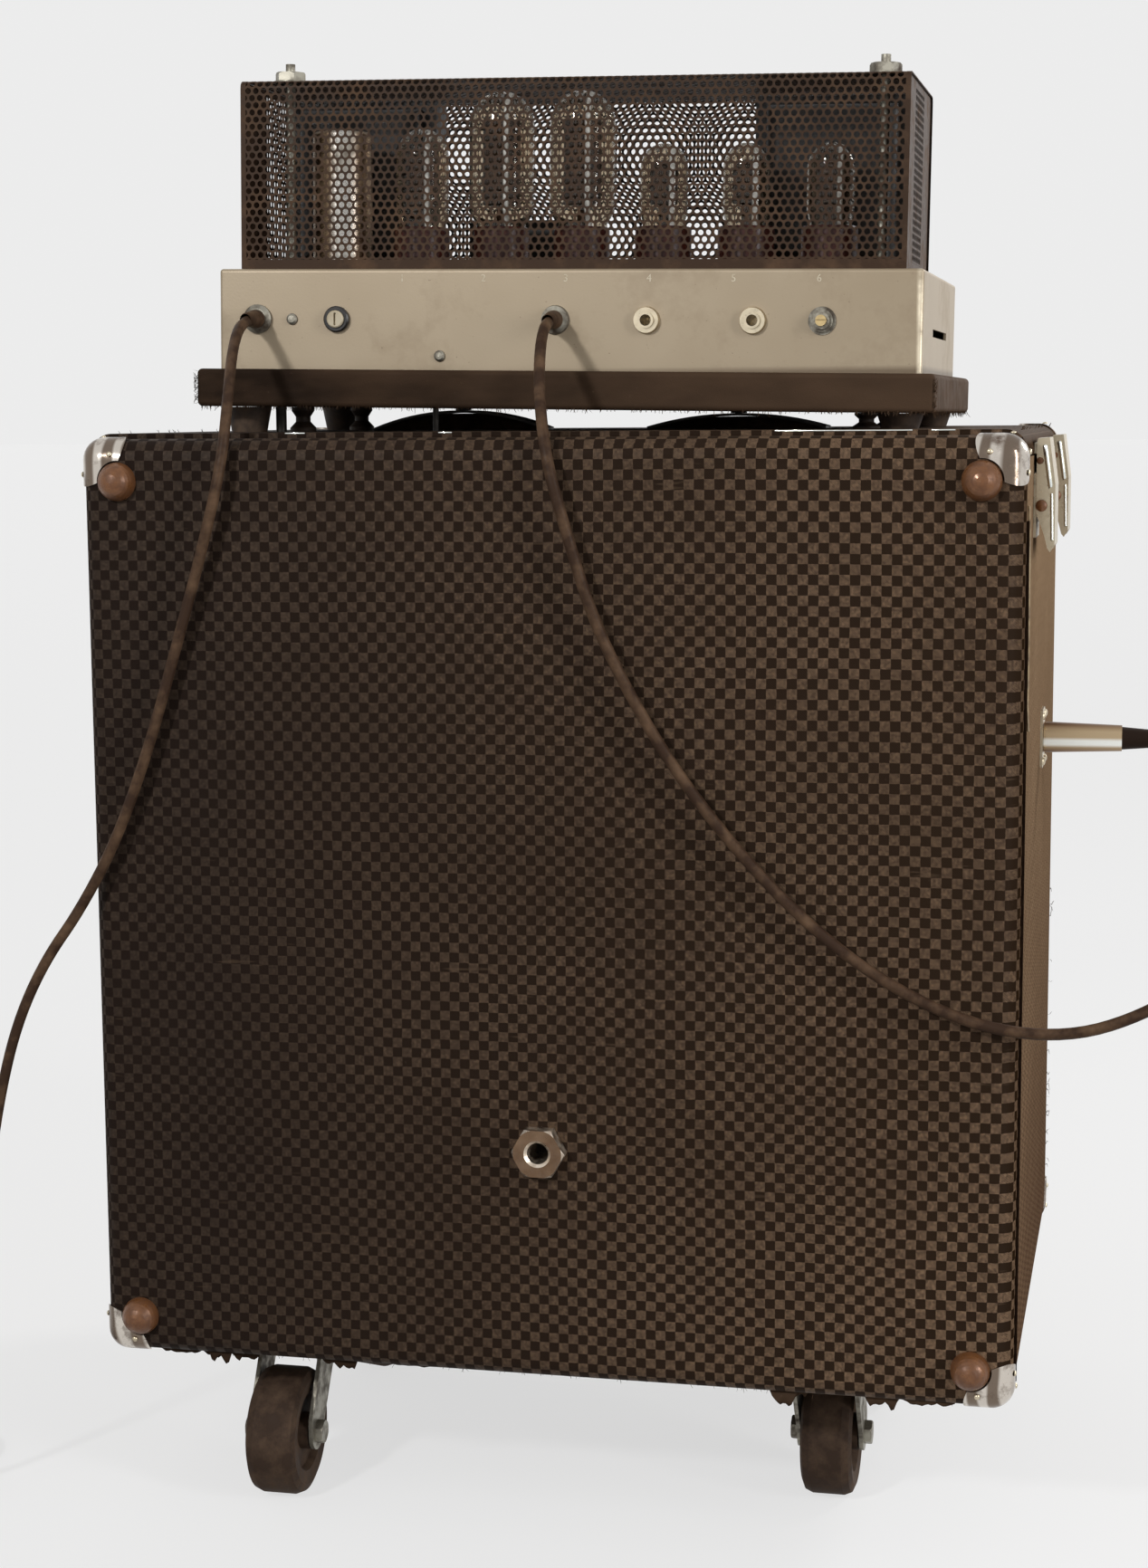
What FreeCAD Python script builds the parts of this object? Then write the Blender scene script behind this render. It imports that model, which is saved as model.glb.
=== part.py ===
import FreeCAD, Part
import math
import os

from FreeCAD import Vector

# A valve guitar amplifier: an amplifier head bolted to the lid of a one-speaker box on casters.
# Millimetres. +Z is up, the floor is z = 0, the rear of the amplifier faces -Y and the grille +Y.

# ---------------------------------------------------------------- driving sizes

fit = 0.3                    # air between neighbouring parts that don't press on each other
running = 0.05               # radial clearance of a shaft in its bore

cabinet_width = 533.4
cabinet_depth = 400.0
cabinet_height = 538.0
board = 19.0
corner_round = 12.0
seam = 0.8                   # open seam between two covered boards
lid_rise = 3.0               # the lid's top above the back board's top edge
batten = 20.0

caster_height = 100.0
wheel_radius = 38.0
wheel_width = 31.0
wheel_shoulder = 6.0
axle_radius = 4.0
fork_plate = 2.5
fork_gap = 2.0               # between the wheel and each leg
caster_trail = 32.0
caster_plate = 2.5
caster_race = 7.5
caster_spacing = 326.0       # between the swivel axes of a pair of casters
caster_shift = -10.0         # the casters sit a little to one side of the cabinet's middle
caster_inset_y = 86.0        # swivel axis from the cabinet's front and back
kingpin_radius = 5.0
caster_turns = {"rear_left": 0.0, "rear_right": 180.0, "front_left": -14.0, "front_right": 9.0}

corner_metal = 1.2
corner_reach = 27.0
glide_radius = 11.0
glide_height = 12.0
glide_inset = 23.0
glide_air = 1.0              # between a glide and the corner cap that is cut back round it
nail_radius = 1.5

stand_socket_height = 136.0  # above the cabinet's bottom
stand_bore = 6.15
stand_hex = 27.0
stand_lip = 9.0
stand_sleeve = 9.0

jack_bore = 3.25
plug_pin_radius = 3.15
side_jack_y = 224.0          # from the cabinet's back face
side_jack_drop = 186.5       # below the back board's top edge
side_plate = 1.5

latch_offset_y = 95.0        # from the cabinet's middle
latch_width = 42.0
latch_sheet = 1.5
latch_pin_out = 4.5
latch_pin_drop = 40.0
latch_pin_radius = 2.5

grille_recess = 10.0
cloth = 1.5
grille_frame = 6.0
grille_border = 38.0
speaker_cutout = 176.0
speaker_flange = 192.5
speaker_depth = 150.0
speaker_height = 236.0       # its axis above the cabinet's bottom
port_width = 360.0
port_height = 46.0
port_drop = 66.0             # its middle below the seam of the lid

head_x = -5.0                # the head sits a little to one side of the lid's middle
mount_height = 12.0          # gap between the lid and the platform, at the middle
head_lean = 0.95             # degrees that the head leans to the right on its soft mounts
platform_width = 434.0
platform_depth = 253.0
platform_thick = 22.0
chassis_width = 415.8
chassis_depth = 219.4
chassis_height = 58.5
chassis_sheet = 1.6
chassis_bend = 2.0
panel_line = 29.3            # rear fittings' height above the chassis's bottom edge

cage_width = 394.0
cage_depth = 138.0
cage_height = 109.0
cage_sheet = 1.2
cage_setback = 8.4           # from the chassis's rear face
cage_bend = 4.0
stud_radius = 2.8
stud_x = 176.0               # either side of the cabinet's middle
stud_y = 15.0                # from the cage's rear face
stud_rise = 11.0
cage_nut_hex = 16.0
cage_nut_height = 5.0

tube_row = 34.7              # valves' line from the cage's rear face
tube_pitch = 48.9
can_x = -145.0
can_radius = 18.5
can_height = 82.0
glass_wall = 1.1

cord_radius = 3.2
coil_centre = Vector(-415.6, -146.0, 0.0)
coil_turn_radius = 35.0       # at the middle of its turns
coil_layers = 2
coil_columns = 4

plate_half_x, plate_half_y = 32.0, 30.0
plate_hole_x, plate_hole_y = 24.0, 22.0
screw_radius = 2.0
screw_length = 14.0
nail_length = 12.0
side_bush_radius = 6.0
side_body_radius = 10.0
side_body_length = 22.0
bolt_radius = 2.5
mouth = 1.6                                    # rounding at the socket's mouth

side_plate_half_y, side_plate_half_z = 14.0, 18.0

keeper_width = 34.0
knuckle_radius = 4.2
base_half = 18.0

magnet_radius, magnet_thick = 78.0, 34.0
coil_radius = 38.0
cone_edge = 158.0
basket_wall = 2.0

fork_crown = 3.0
crown_radius = 22.0
axle_boss = 11.0

mount_x, mount_y = 195.0, 95.0
spool_x, spool_y = 172.0, 62.0
leaf_x, leaf_length, leaf_width, leaf_thick = 87.0, 110.0, 25.0, 1.6
leaf_spacer = 1.2

grommet_x, clip_screw_x, fuse_x, low_screw_x = -184.0, -163.0, -135.4, -73.0
ferrule_x, hum_x = -4.0, 150.9
jack_xs = (49.8, 111.3)
grommet_radius, ferrule_radius, fuse_radius, jack_bush, hum_bush = 7.0, 8.5, 6.5, 4.6, 4.8
tube_shift = 2.0
socket_radius = 14.0
knob_xs = (-60.0, -20.0, 20.0, 60.0)
input_xs = (-180.0, -155.0, -130.0, -105.0)
switch_x, lamp_x = 125.0, 165.0
pot_bush, pot_shaft = 4.75, 3.15
bat_ball, bat_pivot, bat_swing = 3.0, -4.5, 12.0
slot_low, slot_high, slot_y0, slot_y1 = 22.0, 26.5, 64.0, 157.0
fuse_depth, fuse_cap_radius = 34.0, 5.0

octal, power, twin = (16.5, 24.0), (19.2, 105.0), (14.0, 74.0)
rectifier = (16.0, 84.0)

plug_radius = 13.0
barrel, boot = 47.0, 34.0

# ---------------------------------------------------------------- places worked out from them

back_y = -(cabinet_depth + glide_height + corner_metal) / 2 + glide_height
front_y = back_y + cabinet_depth
mid_y = (back_y + front_y) / 2
side_x = cabinet_width / 2
inner_x = side_x - board
bottom_z = caster_height
floor_z = bottom_z + board                     # the cabinet's inside floor
top_z = bottom_z + cabinet_height              # the back board's top edge
seam_z = top_z - corner_round                  # the sides' top edge
lid_z = seam_z + seam
lid_top = top_z + lid_rise
panel_y = back_y + board + seam                # where the sides, bottom and lid begin

cloth_y = front_y - grille_recess - cloth
frame_y = cloth_y - grille_frame
baffle_y = frame_y - board                     # the baffle's rear face
speaker_z = bottom_z + speaker_height

platform_z = lid_top + mount_height
platform_top = platform_z + platform_thick
chassis_z = platform_top
chassis_top = chassis_z + chassis_height
chassis_back = mid_y - chassis_depth / 2
chassis_front = mid_y + chassis_depth / 2
panel_z = chassis_z + panel_line
cage_back = chassis_back + cage_setback
cage_front = cage_back + cage_depth
cage_top = chassis_top + cage_height
tube_y = cage_back + tube_row


# ---------------------------------------------------------------- small shapes

def box(x0, x1, y0, y1, z0, z1):
    return Part.makeBox(x1 - x0, y1 - y0, z1 - z0, Vector(x0, y0, z0))


def rod(start, direction, radius, length):
    return Part.makeCylinder(radius, length, Vector(*start), Vector(*direction))


def ring(start, direction, outer, inner, length):
    return rod(start, direction, outer, length).cut(rod(start, direction, inner, length))


def turned(outline, start=(0, 0, 0), direction=(0, 0, 1)):
    """A solid of revolution: outline is a closed list of (radius, height)."""
    points = [Vector(r, 0, h) for r, h in outline]
    face = Part.Face(Part.makePolygon(points + points[:1]))
    return placed(face.revolve(Vector(0, 0, 0), Vector(0, 0, 1), 360), start, direction)


def placed(shape, start, direction):
    """A shape drawn along +Z, pointing along direction from start."""
    turn = FreeCAD.Rotation(Vector(0, 0, 1), Vector(*direction))
    shape.Placement = FreeCAD.Placement(Vector(*start), turn)
    return shape


def hexagon(start, direction, flats, height, bore=0.0):
    """A hexagonal nut with its corners turned off."""
    corner = flats / math.sqrt(3)
    points = [Vector(corner * math.cos(math.radians(60 * i)), corner * math.sin(math.radians(60 * i)), 0)
              for i in range(6)]
    nut = Part.Face(Part.makePolygon(points + points[:1])).extrude(Vector(0, 0, height))
    crown = turned([(0, 0), (corner, 0), (corner, height - 0.12 * corner), (0.9 * corner, height),
                    (0, height)])
    nut = nut.common(crown)
    if bore:
        nut = nut.cut(rod((0, 0, 0), (0, 0, 1), bore, height))
    return placed(nut, start, direction)


def plate(outline, plane, start, thickness):
    """A flat plate: outline is a list of (u, w); plane 'y' draws it in XZ and 'x' in YZ."""
    if plane == "y":
        points = [Vector(u, start, w) for u, w in outline]
        along = Vector(0, thickness, 0)
    else:
        points = [Vector(start, u, w) for u, w in outline]
        along = Vector(thickness, 0, 0)
    return Part.Face(Part.makePolygon(points + points[:1])).extrude(along)


def fused(pieces):
    whole = pieces[0]
    for piece in pieces[1:]:
        whole = whole.fuse(piece)
    return whole.removeSplitter()


def without(shape, tools):
    for tool in tools:
        shape = shape.cut(tool)
    return shape


def rounded(shape, radius, wanted):
    edges = [e for e in shape.Edges if wanted(e)]
    return shape.makeFillet(radius, edges)


def along(edge, axis):
    """True for a straight edge along axis 0, 1 or 2."""
    a, b = edge.Vertexes[0].Point, edge.Vertexes[-1].Point
    return len(edge.Vertexes) == 2 and all(abs(a[i] - b[i]) < 1e-6 for i in range(3) if i != axis)


def middle(edge):
    return edge.BoundBox.Center


def mirrored(shape):
    """The same piece on the other side of the cabinet."""
    return shape.mirror(Vector(0, 0, 0), Vector(1, 0, 0))


parts = {}


def keep(name, *pieces):
    solids = []
    for piece in pieces:
        solids += piece.Solids
    parts[name] = solids


# ---------------------------------------------------------------- cabinet

def rounded_block(top):
    """The cabinet's outside up to a given height, with every edge rounded."""
    block = box(-side_x, side_x, back_y, front_y, bottom_z, top)
    return block.makeFillet(corner_round, block.Edges)


def corner_places():
    """The eight covered corners: place, outward signs and the highest the metal may reach."""
    for sx in (-1, 1):
        for sy, y in ((-1, back_y), (1, front_y)):
            for sz, z in ((-1, bottom_z), (1, top_z if sy < 0 else lid_top)):
                yield sx, sy, sz, Vector(sx * side_x, y, z)


def corner_cap(sx, sy, sz, at):
    """A pressed three-way corner: a thin skin round one corner of a rounded block."""
    size = 3 * corner_reach

    def block(grow):
        lows, highs = [], []
        for sign, place in ((sx, at.x), (sy, at.y), (sz, at.z)):
            face = place + sign * grow
            lows.append(min(face, face - sign * size))
            highs.append(max(face, face - sign * size))
        solid = box(lows[0], highs[0], lows[1], highs[1], lows[2], highs[2])
        tip = Vector(at.x + sx * grow, at.y + sy * grow, at.z + sz * grow)
        touching = [e for e in solid.Edges if min((v.Point - tip).Length for v in e.Vertexes) < 1e-6]
        return solid.makeFillet(corner_round + grow, touching)

    skin = block(corner_metal).cut(block(0.0))
    cap = skin.common(Part.makeSphere(corner_reach, at))
    if sy < 0:
        near = min(glide_places, key=lambda place: abs(place[0] - at.x) + abs(place[1] - at.z))
        cap = cap.cut(rod((near[0], back_y - 5, near[1]), (0, 1, 0), glide_radius + glide_air, 10))
        cap = cap.common(box(at.x - size, at.x + size, back_y - size, back_y + board - fit, at.z - size,
                             at.z + size))
    if sy > 0 and sz > 0:
        cap = cap.common(box(at.x - size, at.x + size, at.y - size, at.y + size, lid_z + fit, at.z + size))
    return cap


def caster_centres():
    left, right = caster_shift - caster_spacing / 2, caster_shift + caster_spacing / 2
    rear, front = back_y + caster_inset_y, front_y - caster_inset_y
    return {"rear_left": (left, rear), "rear_right": (right, rear),
            "front_left": (left, front), "front_right": (right, front)}


def plate_screws(x, y):
    return [(x + sx * plate_hole_x, y + sy * plate_hole_y) for sx in (-1, 1) for sy in (-1, 1)]


glide_places = [(sx * (side_x - glide_inset), z) for sx in (-1, 1)
                for z in (bottom_z + glide_inset, top_z - glide_inset - 1)]
stand_z = bottom_z + stand_socket_height
side_jack_at = (side_x, back_y + side_jack_y, top_z - side_jack_drop)

outside = rounded_block(top_z)
back_board = outside.common(box(-side_x, side_x, back_y, back_y + board, bottom_z, top_z))
back_board = back_board.cut(rod((0, back_y - 1, stand_z), (0, 1, 0), stand_sleeve + running, board + 2))
back_board = without(back_board, [rod((x, back_y - 1, z), (0, 1, 0), nail_radius + running, nail_length + 2)
                                  for x, z in glide_places])
keep("cabinet_back", back_board)

left_board = outside.common(box(-side_x, -inner_x, panel_y, front_y, bottom_z, seam_z))
right_board = outside.common(box(inner_x, side_x, panel_y, front_y, bottom_z, seam_z))
right_board = right_board.cut(rod((inner_x - 1, side_jack_at[1], side_jack_at[2]), (1, 0, 0),
                                  side_bush_radius + fit, board + 2))
keep("cabinet_left_side", left_board)
keep("cabinet_right_side", right_board)

bottom_board = outside.common(box(-inner_x, inner_x, panel_y, front_y, bottom_z, floor_z))
screw_spots = [spot for centre in caster_centres().values() for spot in plate_screws(*centre)]
bottom_board = without(bottom_board, [rod((x, y, bottom_z - 1), (0, 0, 1), screw_radius + running,
                                          screw_length + 2) for x, y in screw_spots])
keep("cabinet_bottom", bottom_board)

lid_board = rounded_block(lid_top).common(box(-side_x, side_x, panel_y, front_y, lid_z, lid_top))
keep("lid_board", lid_board)

batten_top = seam_z - 2
battens = []
for y0, y1 in ((back_y + board, back_y + board + batten), (baffle_y - batten, baffle_y)):
    battens.append(box(-inner_x, -inner_x + batten, y0, y1, floor_z, batten_top))
    battens.append(box(inner_x - batten, inner_x, y0, y1, floor_z, batten_top))
    battens.append(box(-inner_x + batten, inner_x - batten, y0, y1, floor_z, floor_z + batten))
keep("cabinet_battens", *battens)

panel_x = inner_x - fit
panel_low = floor_z + fit
panel_high = lid_z - fit
bolt_circle = speaker_flange - 8
bolt_angles = [22.5 + 45 * i for i in range(8)]


def on_speaker(angle, radius):
    return radius * math.cos(math.radians(angle)), speaker_z + radius * math.sin(math.radians(angle))


port_z = seam_z - port_drop
baffle = box(-panel_x, panel_x, baffle_y, frame_y, panel_low, panel_high)
baffle = baffle.cut(rod((0, baffle_y - 1, speaker_z), (0, 1, 0), speaker_cutout, board + 2))
baffle = baffle.cut(box(-port_width / 2, port_width / 2, baffle_y - 1, frame_y + 1,
                        port_z - port_height / 2, port_z + port_height / 2))
baffle = without(baffle, [rod((x, baffle_y - 1, z), (0, 1, 0), bolt_radius + running, board + 2)
                          for x, z in (on_speaker(a, bolt_circle) for a in bolt_angles)])
keep("speaker_baffle", baffle)

keep("grille_frame", box(-panel_x, panel_x, frame_y, cloth_y, panel_low, panel_high).cut(
    box(-panel_x + grille_border, panel_x - grille_border, frame_y - 1, cloth_y + 1,
        panel_low + grille_border / 2, panel_high - grille_border / 2)))
keep("grille_cloth", box(-panel_x, panel_x, cloth_y, cloth_y + cloth, panel_low, panel_high))

keep("corner_caps", *[corner_cap(*place) for place in corner_places()])


def glide(x, z):
    """A domed steel glide on a nail."""
    steps = 8
    dome = [(glide_radius * math.cos(math.radians(90 * i / steps)),
             glide_height * math.sin(math.radians(90 * i / steps))) for i in range(steps + 1)]
    outline = [(0, -nail_length), (nail_radius, -nail_length), (nail_radius, 0)] + dome
    return turned(outline, (x, back_y, z), (0, -1, 0))


keep("rear_glides", *[glide(x, z) for x, z in glide_places])

socket_body = hexagon((0, back_y, stand_z), (0, -1, 0), stand_hex, stand_lip)
socket_body = socket_body.fuse(rod((0, back_y, stand_z), (0, 1, 0), stand_sleeve, board + 9))
socket_body = socket_body.cut(rod((0, back_y - stand_lip - 1, stand_z), (0, 1, 0), stand_bore, board + 30))
socket_body = socket_body.cut(turned([(0, 0), (stand_bore + mouth, 0), (stand_bore, mouth), (0, mouth)],
                                     (0, back_y - stand_lip, stand_z), (0, 1, 0)))
inner_nut = hexagon((0, back_y + board, stand_z), (0, 1, 0), stand_hex, 7.0, stand_sleeve + running)
keep("stand_socket", socket_body, inner_nut)

# ---------------------------------------------------------------- jack on the cabinet's side

jx, jy, jz = side_jack_at
jack_face = jx + side_plate
jack_plate = box(jx, jack_face, jy - side_plate_half_y, jy + side_plate_half_y,
                 jz - side_plate_half_z, jz + side_plate_half_z)
jack_plate = rounded(jack_plate, 4.0, lambda e: along(e, 0))
side_jack = fused([jack_plate, rod((jx - board, jy, jz), (1, 0, 0), side_bush_radius, board),
                   rod((inner_x - side_body_length, jy, jz), (1, 0, 0), side_body_radius,
                       side_body_length)])
side_jack = side_jack.cut(rod((inner_x - side_body_length + 3, jy, jz), (1, 0, 0), jack_bore,
                              side_body_length + board + side_plate))
plate_heads = [turned([(0, 0), (2.6, 0), (2.2, 1.0), (1.2, 1.6), (0, 1.8)],
                      (jack_face, jy + sy * 10.0, jz + sz * 14.0), (1, 0, 0)) for sy in (-1, 1)
               for sz in (-1, 1)]
keep("side_jack", side_jack, *plate_heads)

# ---------------------------------------------------------------- latches

def latch_point(u, drop):
    return side_x + u, top_z - drop


def latch_plate(outline, y, thickness):
    return plate([latch_point(u, drop) for u, drop in outline], "y", y, thickness)


def latch_base(y):
    """The plate and knuckle that carry the lever's pin, drawn on the right side."""
    base = latch_plate([(0, 22), (latch_sheet, 22), (latch_sheet, 58), (0, 58)], y - base_half,
                       2 * base_half)
    px, pz = latch_point(latch_pin_out, latch_pin_drop)
    half = 12.0
    knuckle = rod((px, y - half, pz), (0, 1, 0), knuckle_radius, 2 * half)
    foot = latch_plate([(0, 36.5), (latch_pin_out, 36.5), (latch_pin_out, 43.5), (0, 43.5)], y - half,
                       2 * half)
    bore = rod((px, y - half - 1, pz), (0, 1, 0), latch_pin_radius + running, 2 * half + 2)
    return fused([base, foot, knuckle]).cut(bore)


def latch_keeper(y):
    """The lipped plate on the lid that the lever's hook holds down."""
    outline = [(0, 5.2), (6.0, 5.2), (6.0, 7.0), (1.5, 7.0), (1.5, 11.0), (0, 11.0)]
    return latch_plate(outline, y - keeper_width / 2, keeper_width)


def latch_lever(y):
    """The rocking lever: two cheeks with a slot, a web, a hook at the top and its pin."""
    half = latch_width / 2
    cheek = [(1.5, 5.0), (2.2, 2.6), (8.5, 2.2), (12.0, 28.0), (12.0, 62.0), (9.6, 66.0), (8.0, 64.0),
             (6.2, 57.0), (4.2, 51.0), (1.6, 45.0)]
    slot = [(4.6, 7.0), (7.0, 6.4), (10.2, 28.6), (8.4, 30.8)]
    web = [(7.0, 2.2), (8.5, 2.2), (12.0, 28.0), (12.0, 62.0), (10.5, 62.5), (10.5, 28.0)]
    hook = [(2.0, 2.6), (8.5, 2.2), (8.5, 4.0), (2.0, 4.2)]
    cheeks = []
    for side in (-1, 1):
        start = y + side * half - (latch_sheet if side > 0 else 0)
        cheeks.append(latch_plate(cheek, start, latch_sheet).cut(latch_plate(slot, start, latch_sheet)))
    px, pz = latch_point(latch_pin_out, latch_pin_drop)
    pin = rod((px, y - half - 1.2, pz), (0, 1, 0), latch_pin_radius, latch_width + 2.4)
    shell = fused([latch_plate(web, y - half, latch_width), latch_plate(hook, y - half, latch_width)]
                  + cheeks)
    return fused([shell, pin])


latch_names = {("left", -1): "left_rear", ("left", 1): "left_front",
               ("right", -1): "right_rear", ("right", 1): "right_front"}
bases = []
for (side, step), place in latch_names.items():
    y = mid_y + step * latch_offset_y
    base, keeper, lever = latch_base(y), latch_keeper(y), latch_lever(y)
    if side == "left":
        base, keeper, lever = mirrored(base), mirrored(keeper), mirrored(lever)
    bases += [base, keeper]
    keep("latch_lever_" + place, lever)
keep("latch_bases", *bases)

# ---------------------------------------------------------------- speaker

magnet_y = baffle_y - speaker_depth
spider_radius, spider_y = 62.0, magnet_y + magnet_thick + 24
cone_back = spider_y + 4
cone_front = baffle_y + 4


def speaker_basket():
    """The pressed frame: a flange, a coned wall with six windows, a spider ledge and a back plate."""
    y0 = magnet_y + magnet_thick
    wall = [(magnet_radius - 10, y0), (magnet_radius - 10, spider_y), (speaker_cutout - 2, baffle_y),
            (speaker_flange, baffle_y), (speaker_flange, baffle_y - basket_wall),
            (speaker_cutout - 3, baffle_y - basket_wall), (magnet_radius - 8, spider_y - basket_wall),
            (magnet_radius - 8, y0)]
    ledge = [(spider_radius + 1, spider_y - basket_wall), (magnet_radius - 8, spider_y - basket_wall),
             (magnet_radius - 8, spider_y), (spider_radius + 1, spider_y)]
    throat = coil_radius + 3
    rim = magnet_radius - 8
    floor = [(throat, y0), (rim, y0), (rim, y0 + basket_wall), (throat, y0 + basket_wall)]
    frame = fused([turned(outline, (0, 0, speaker_z), (0, 1, 0)) for outline in (wall, ledge, floor)])
    windows = []
    for i in range(6):
        cutter = box(-24, 24, spider_y + 12, baffle_y - 16, 0, speaker_flange)
        cutter.rotate(Vector(0, 0, 0), Vector(0, 1, 0), 60 * i)
        cutter.translate(Vector(0, 0, speaker_z))
        windows.append(cutter)
    frame = without(frame, windows)
    return without(frame, [rod((x, baffle_y - 10, z), (0, 1, 0), bolt_radius + running, 20)
                           for x, z in (on_speaker(a, bolt_circle) for a in bolt_angles)])


magnet = rod((0, magnet_y, speaker_z), (0, 1, 0), magnet_radius, magnet_thick)
magnet = magnet.cut(ring((0, magnet_y + 8, speaker_z), (0, 1, 0), coil_radius + 1.2, coil_radius - 1.2,
                         magnet_thick))
keep("speaker_basket", speaker_basket(), magnet)


def speaker_cone():
    """Cone, dust cap and voice coil former as one moving piece."""
    outline = [(coil_radius - 0.6, magnet_y + 16), (coil_radius - 0.6, cone_back),
               (coil_radius - 2, cone_back + 4),
               (cone_edge, cone_front), (cone_edge, cone_front - 1.5), (coil_radius + 0.6, cone_back - 1),
               (coil_radius + 0.6, magnet_y + 16)]
    cap = [(0, cone_back + 24), (14, cone_back + 22), (28, cone_back + 15),
           (coil_radius + 2, cone_back + 5),
           (coil_radius, cone_back + 3.5), (26, cone_back + 13.5), (13, cone_back + 20.5),
           (0, cone_back + 22.5)]
    return fused([turned(shape, (0, 0, speaker_z), (0, 1, 0)) for shape in (outline, cap)])


keep("speaker_cone", speaker_cone())
surround = turned([(cone_edge + 0.3, cone_front - 1.5), (cone_edge + 0.3, cone_front),
                   (163, cone_front + 4),
                   (168, cone_front + 4), (speaker_cutout - 2.3, baffle_y + 1.6),
                   (speaker_cutout - 0.5, baffle_y + 1.6),
                   (speaker_cutout - 0.5, baffle_y + 0.2), (168, cone_front + 2), (163, cone_front + 2)],
                  (0, 0, speaker_z), (0, 1, 0))
spider = turned([(coil_radius + 0.9, spider_y), (spider_radius + 6, spider_y),
                 (spider_radius + 6, spider_y + 1.2),
                 (coil_radius + 0.9, spider_y + 1.2)], (0, 0, speaker_z), (0, 1, 0))
keep("speaker_suspension", surround, spider)


def speaker_bolt(angle):
    x, z = on_speaker(angle, bolt_circle)
    shank = rod((x, baffle_y - 8, z), (0, 1, 0), bolt_radius, 8 + board)
    nut = hexagon((x, baffle_y - basket_wall, z), (0, -1, 0), 8.0, 4.0)
    return fused([shank, nut])


keep("speaker_bolts", *[speaker_bolt(a) for a in bolt_angles])

# ---------------------------------------------------------------- casters

fork_inside = wheel_width / 2 + fork_gap
race_z = bottom_z - caster_plate - caster_race
crown_top = race_z - fit


def caster_mount(x, y):
    """Top plate, ball race and kingpin, with the plate's four screws."""
    top = box(x - plate_half_x, x + plate_half_x, y - plate_half_y, y + plate_half_y,
              bottom_z - caster_plate, bottom_z)
    top = rounded(top, 5.0, lambda e: along(e, 2))
    top = without(top, [rod((sx, sy, bottom_z - caster_plate - 1), (0, 0, 1), screw_radius + running, 10)
                        for sx, sy in plate_screws(x, y)])
    race = turned([(0, 0), (crown_radius - 3, 0), (crown_radius, 3), (crown_radius, caster_race),
                   (0, caster_race)],
                  (x, y, race_z))
    pin_drop = fork_crown + 2 * fit
    kingpin = rod((x, y, race_z - pin_drop), (0, 0, 1), kingpin_radius, pin_drop)
    head = turned([(0, 0), (7, 0), (8, 1), (8, 2.5), (0, 2.5)], (x, y, race_z - pin_drop - 2.5))
    screws = [turned([(0, -2.2), (3, -1.8), (4, 0), (screw_radius, 0), (screw_radius, screw_length),
                      (0, screw_length)], (sx, sy, bottom_z - caster_plate))
               for sx, sy in plate_screws(x, y)]
    return [fused([top, race, kingpin, head])] + screws


def caster_fork():
    """Crown, two legs and the axle, at the origin and trailing towards -Y."""
    outer = fork_inside + fork_plate
    crown = turned([(kingpin_radius + 2 * running, 0), (crown_radius, 0), (crown_radius, fork_crown),
                    (kingpin_radius + 2 * running, fork_crown)], (0, 0, crown_top - fork_crown))
    bridge = box(-outer, outer, -crown_radius + 4, crown_radius - 8, crown_top - fork_crown, crown_top)
    bridge = bridge.cut(rod((0, 0, crown_top - 20), (0, 0, 1), kingpin_radius + 2 * running, 40))
    pieces = [crown, bridge]
    leg = [(-crown_radius + 4, crown_top), (crown_radius - 8, crown_top),
           (-caster_trail + axle_boss, wheel_radius),
           (-caster_trail - axle_boss, wheel_radius), (-caster_trail - axle_boss, wheel_radius + 10)]
    for start in (-outer, fork_inside):
        pieces.append(plate(leg, "x", start, fork_plate))
        pieces.append(rod((start, -caster_trail, wheel_radius), (1, 0, 0), axle_boss, fork_plate))
    pieces.append(rod((-outer - 3, -caster_trail, wheel_radius), (1, 0, 0), axle_radius, 2 * outer + 6))
    pieces.append(hexagon((outer, -caster_trail, wheel_radius), (1, 0, 0), 13.0, 4.5))
    pieces.append(hexagon((-outer, -caster_trail, wheel_radius), (-1, 0, 0), 13.0, 4.5))
    return fused(pieces)


def caster_wheel():
    """Hub, web and tyre, at the origin and trailing towards -Y."""
    half, hub, r, s = wheel_width / 2, 11.0, wheel_radius, wheel_shoulder
    step = 0.3 * s
    outline = [(axle_radius + running, -half - 1), (hub, -half - 1), (hub, -half + 5), (22, -half + 5),
               (24, -half + 1), (r - s, -half), (r - step, -half + step), (r, -half + s), (r, half - s),
               (r - step, half - step), (r - s, half), (24, half - 1), (22, half - 5), (hub, half - 5),
               (hub, half + 1), (axle_radius + running, half + 1)]
    return turned(outline, (0, -caster_trail, wheel_radius), (1, 0, 0))


def swivelled(shape, name):
    x, y = caster_centres()[name]
    moved = shape.copy()
    moved.rotate(Vector(0, 0, 0), Vector(0, 0, 1), caster_turns[name])
    moved.translate(Vector(x, y, 0))
    return moved


mounts = []
for name, (x, y) in caster_centres().items():
    mounts += caster_mount(x, y)
    keep("caster_fork_" + name, swivelled(caster_fork(), name))
    keep("caster_wheel_" + name, swivelled(caster_wheel(), name))
keep("caster_plates", *mounts)

# ---------------------------------------------------------------- platform and its springs

platform = box(head_x - platform_width / 2, head_x + platform_width / 2, mid_y - platform_depth / 2,
               mid_y + platform_depth / 2, platform_z, platform_top)
platform = rounded(platform, 3.0, lambda e: True)
keep("platform_board", platform)


def gap_at(x, radius):
    """Room under the leaning platform for something of that radius."""
    return mount_height - (x + radius) * math.tan(math.radians(head_lean))


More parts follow.
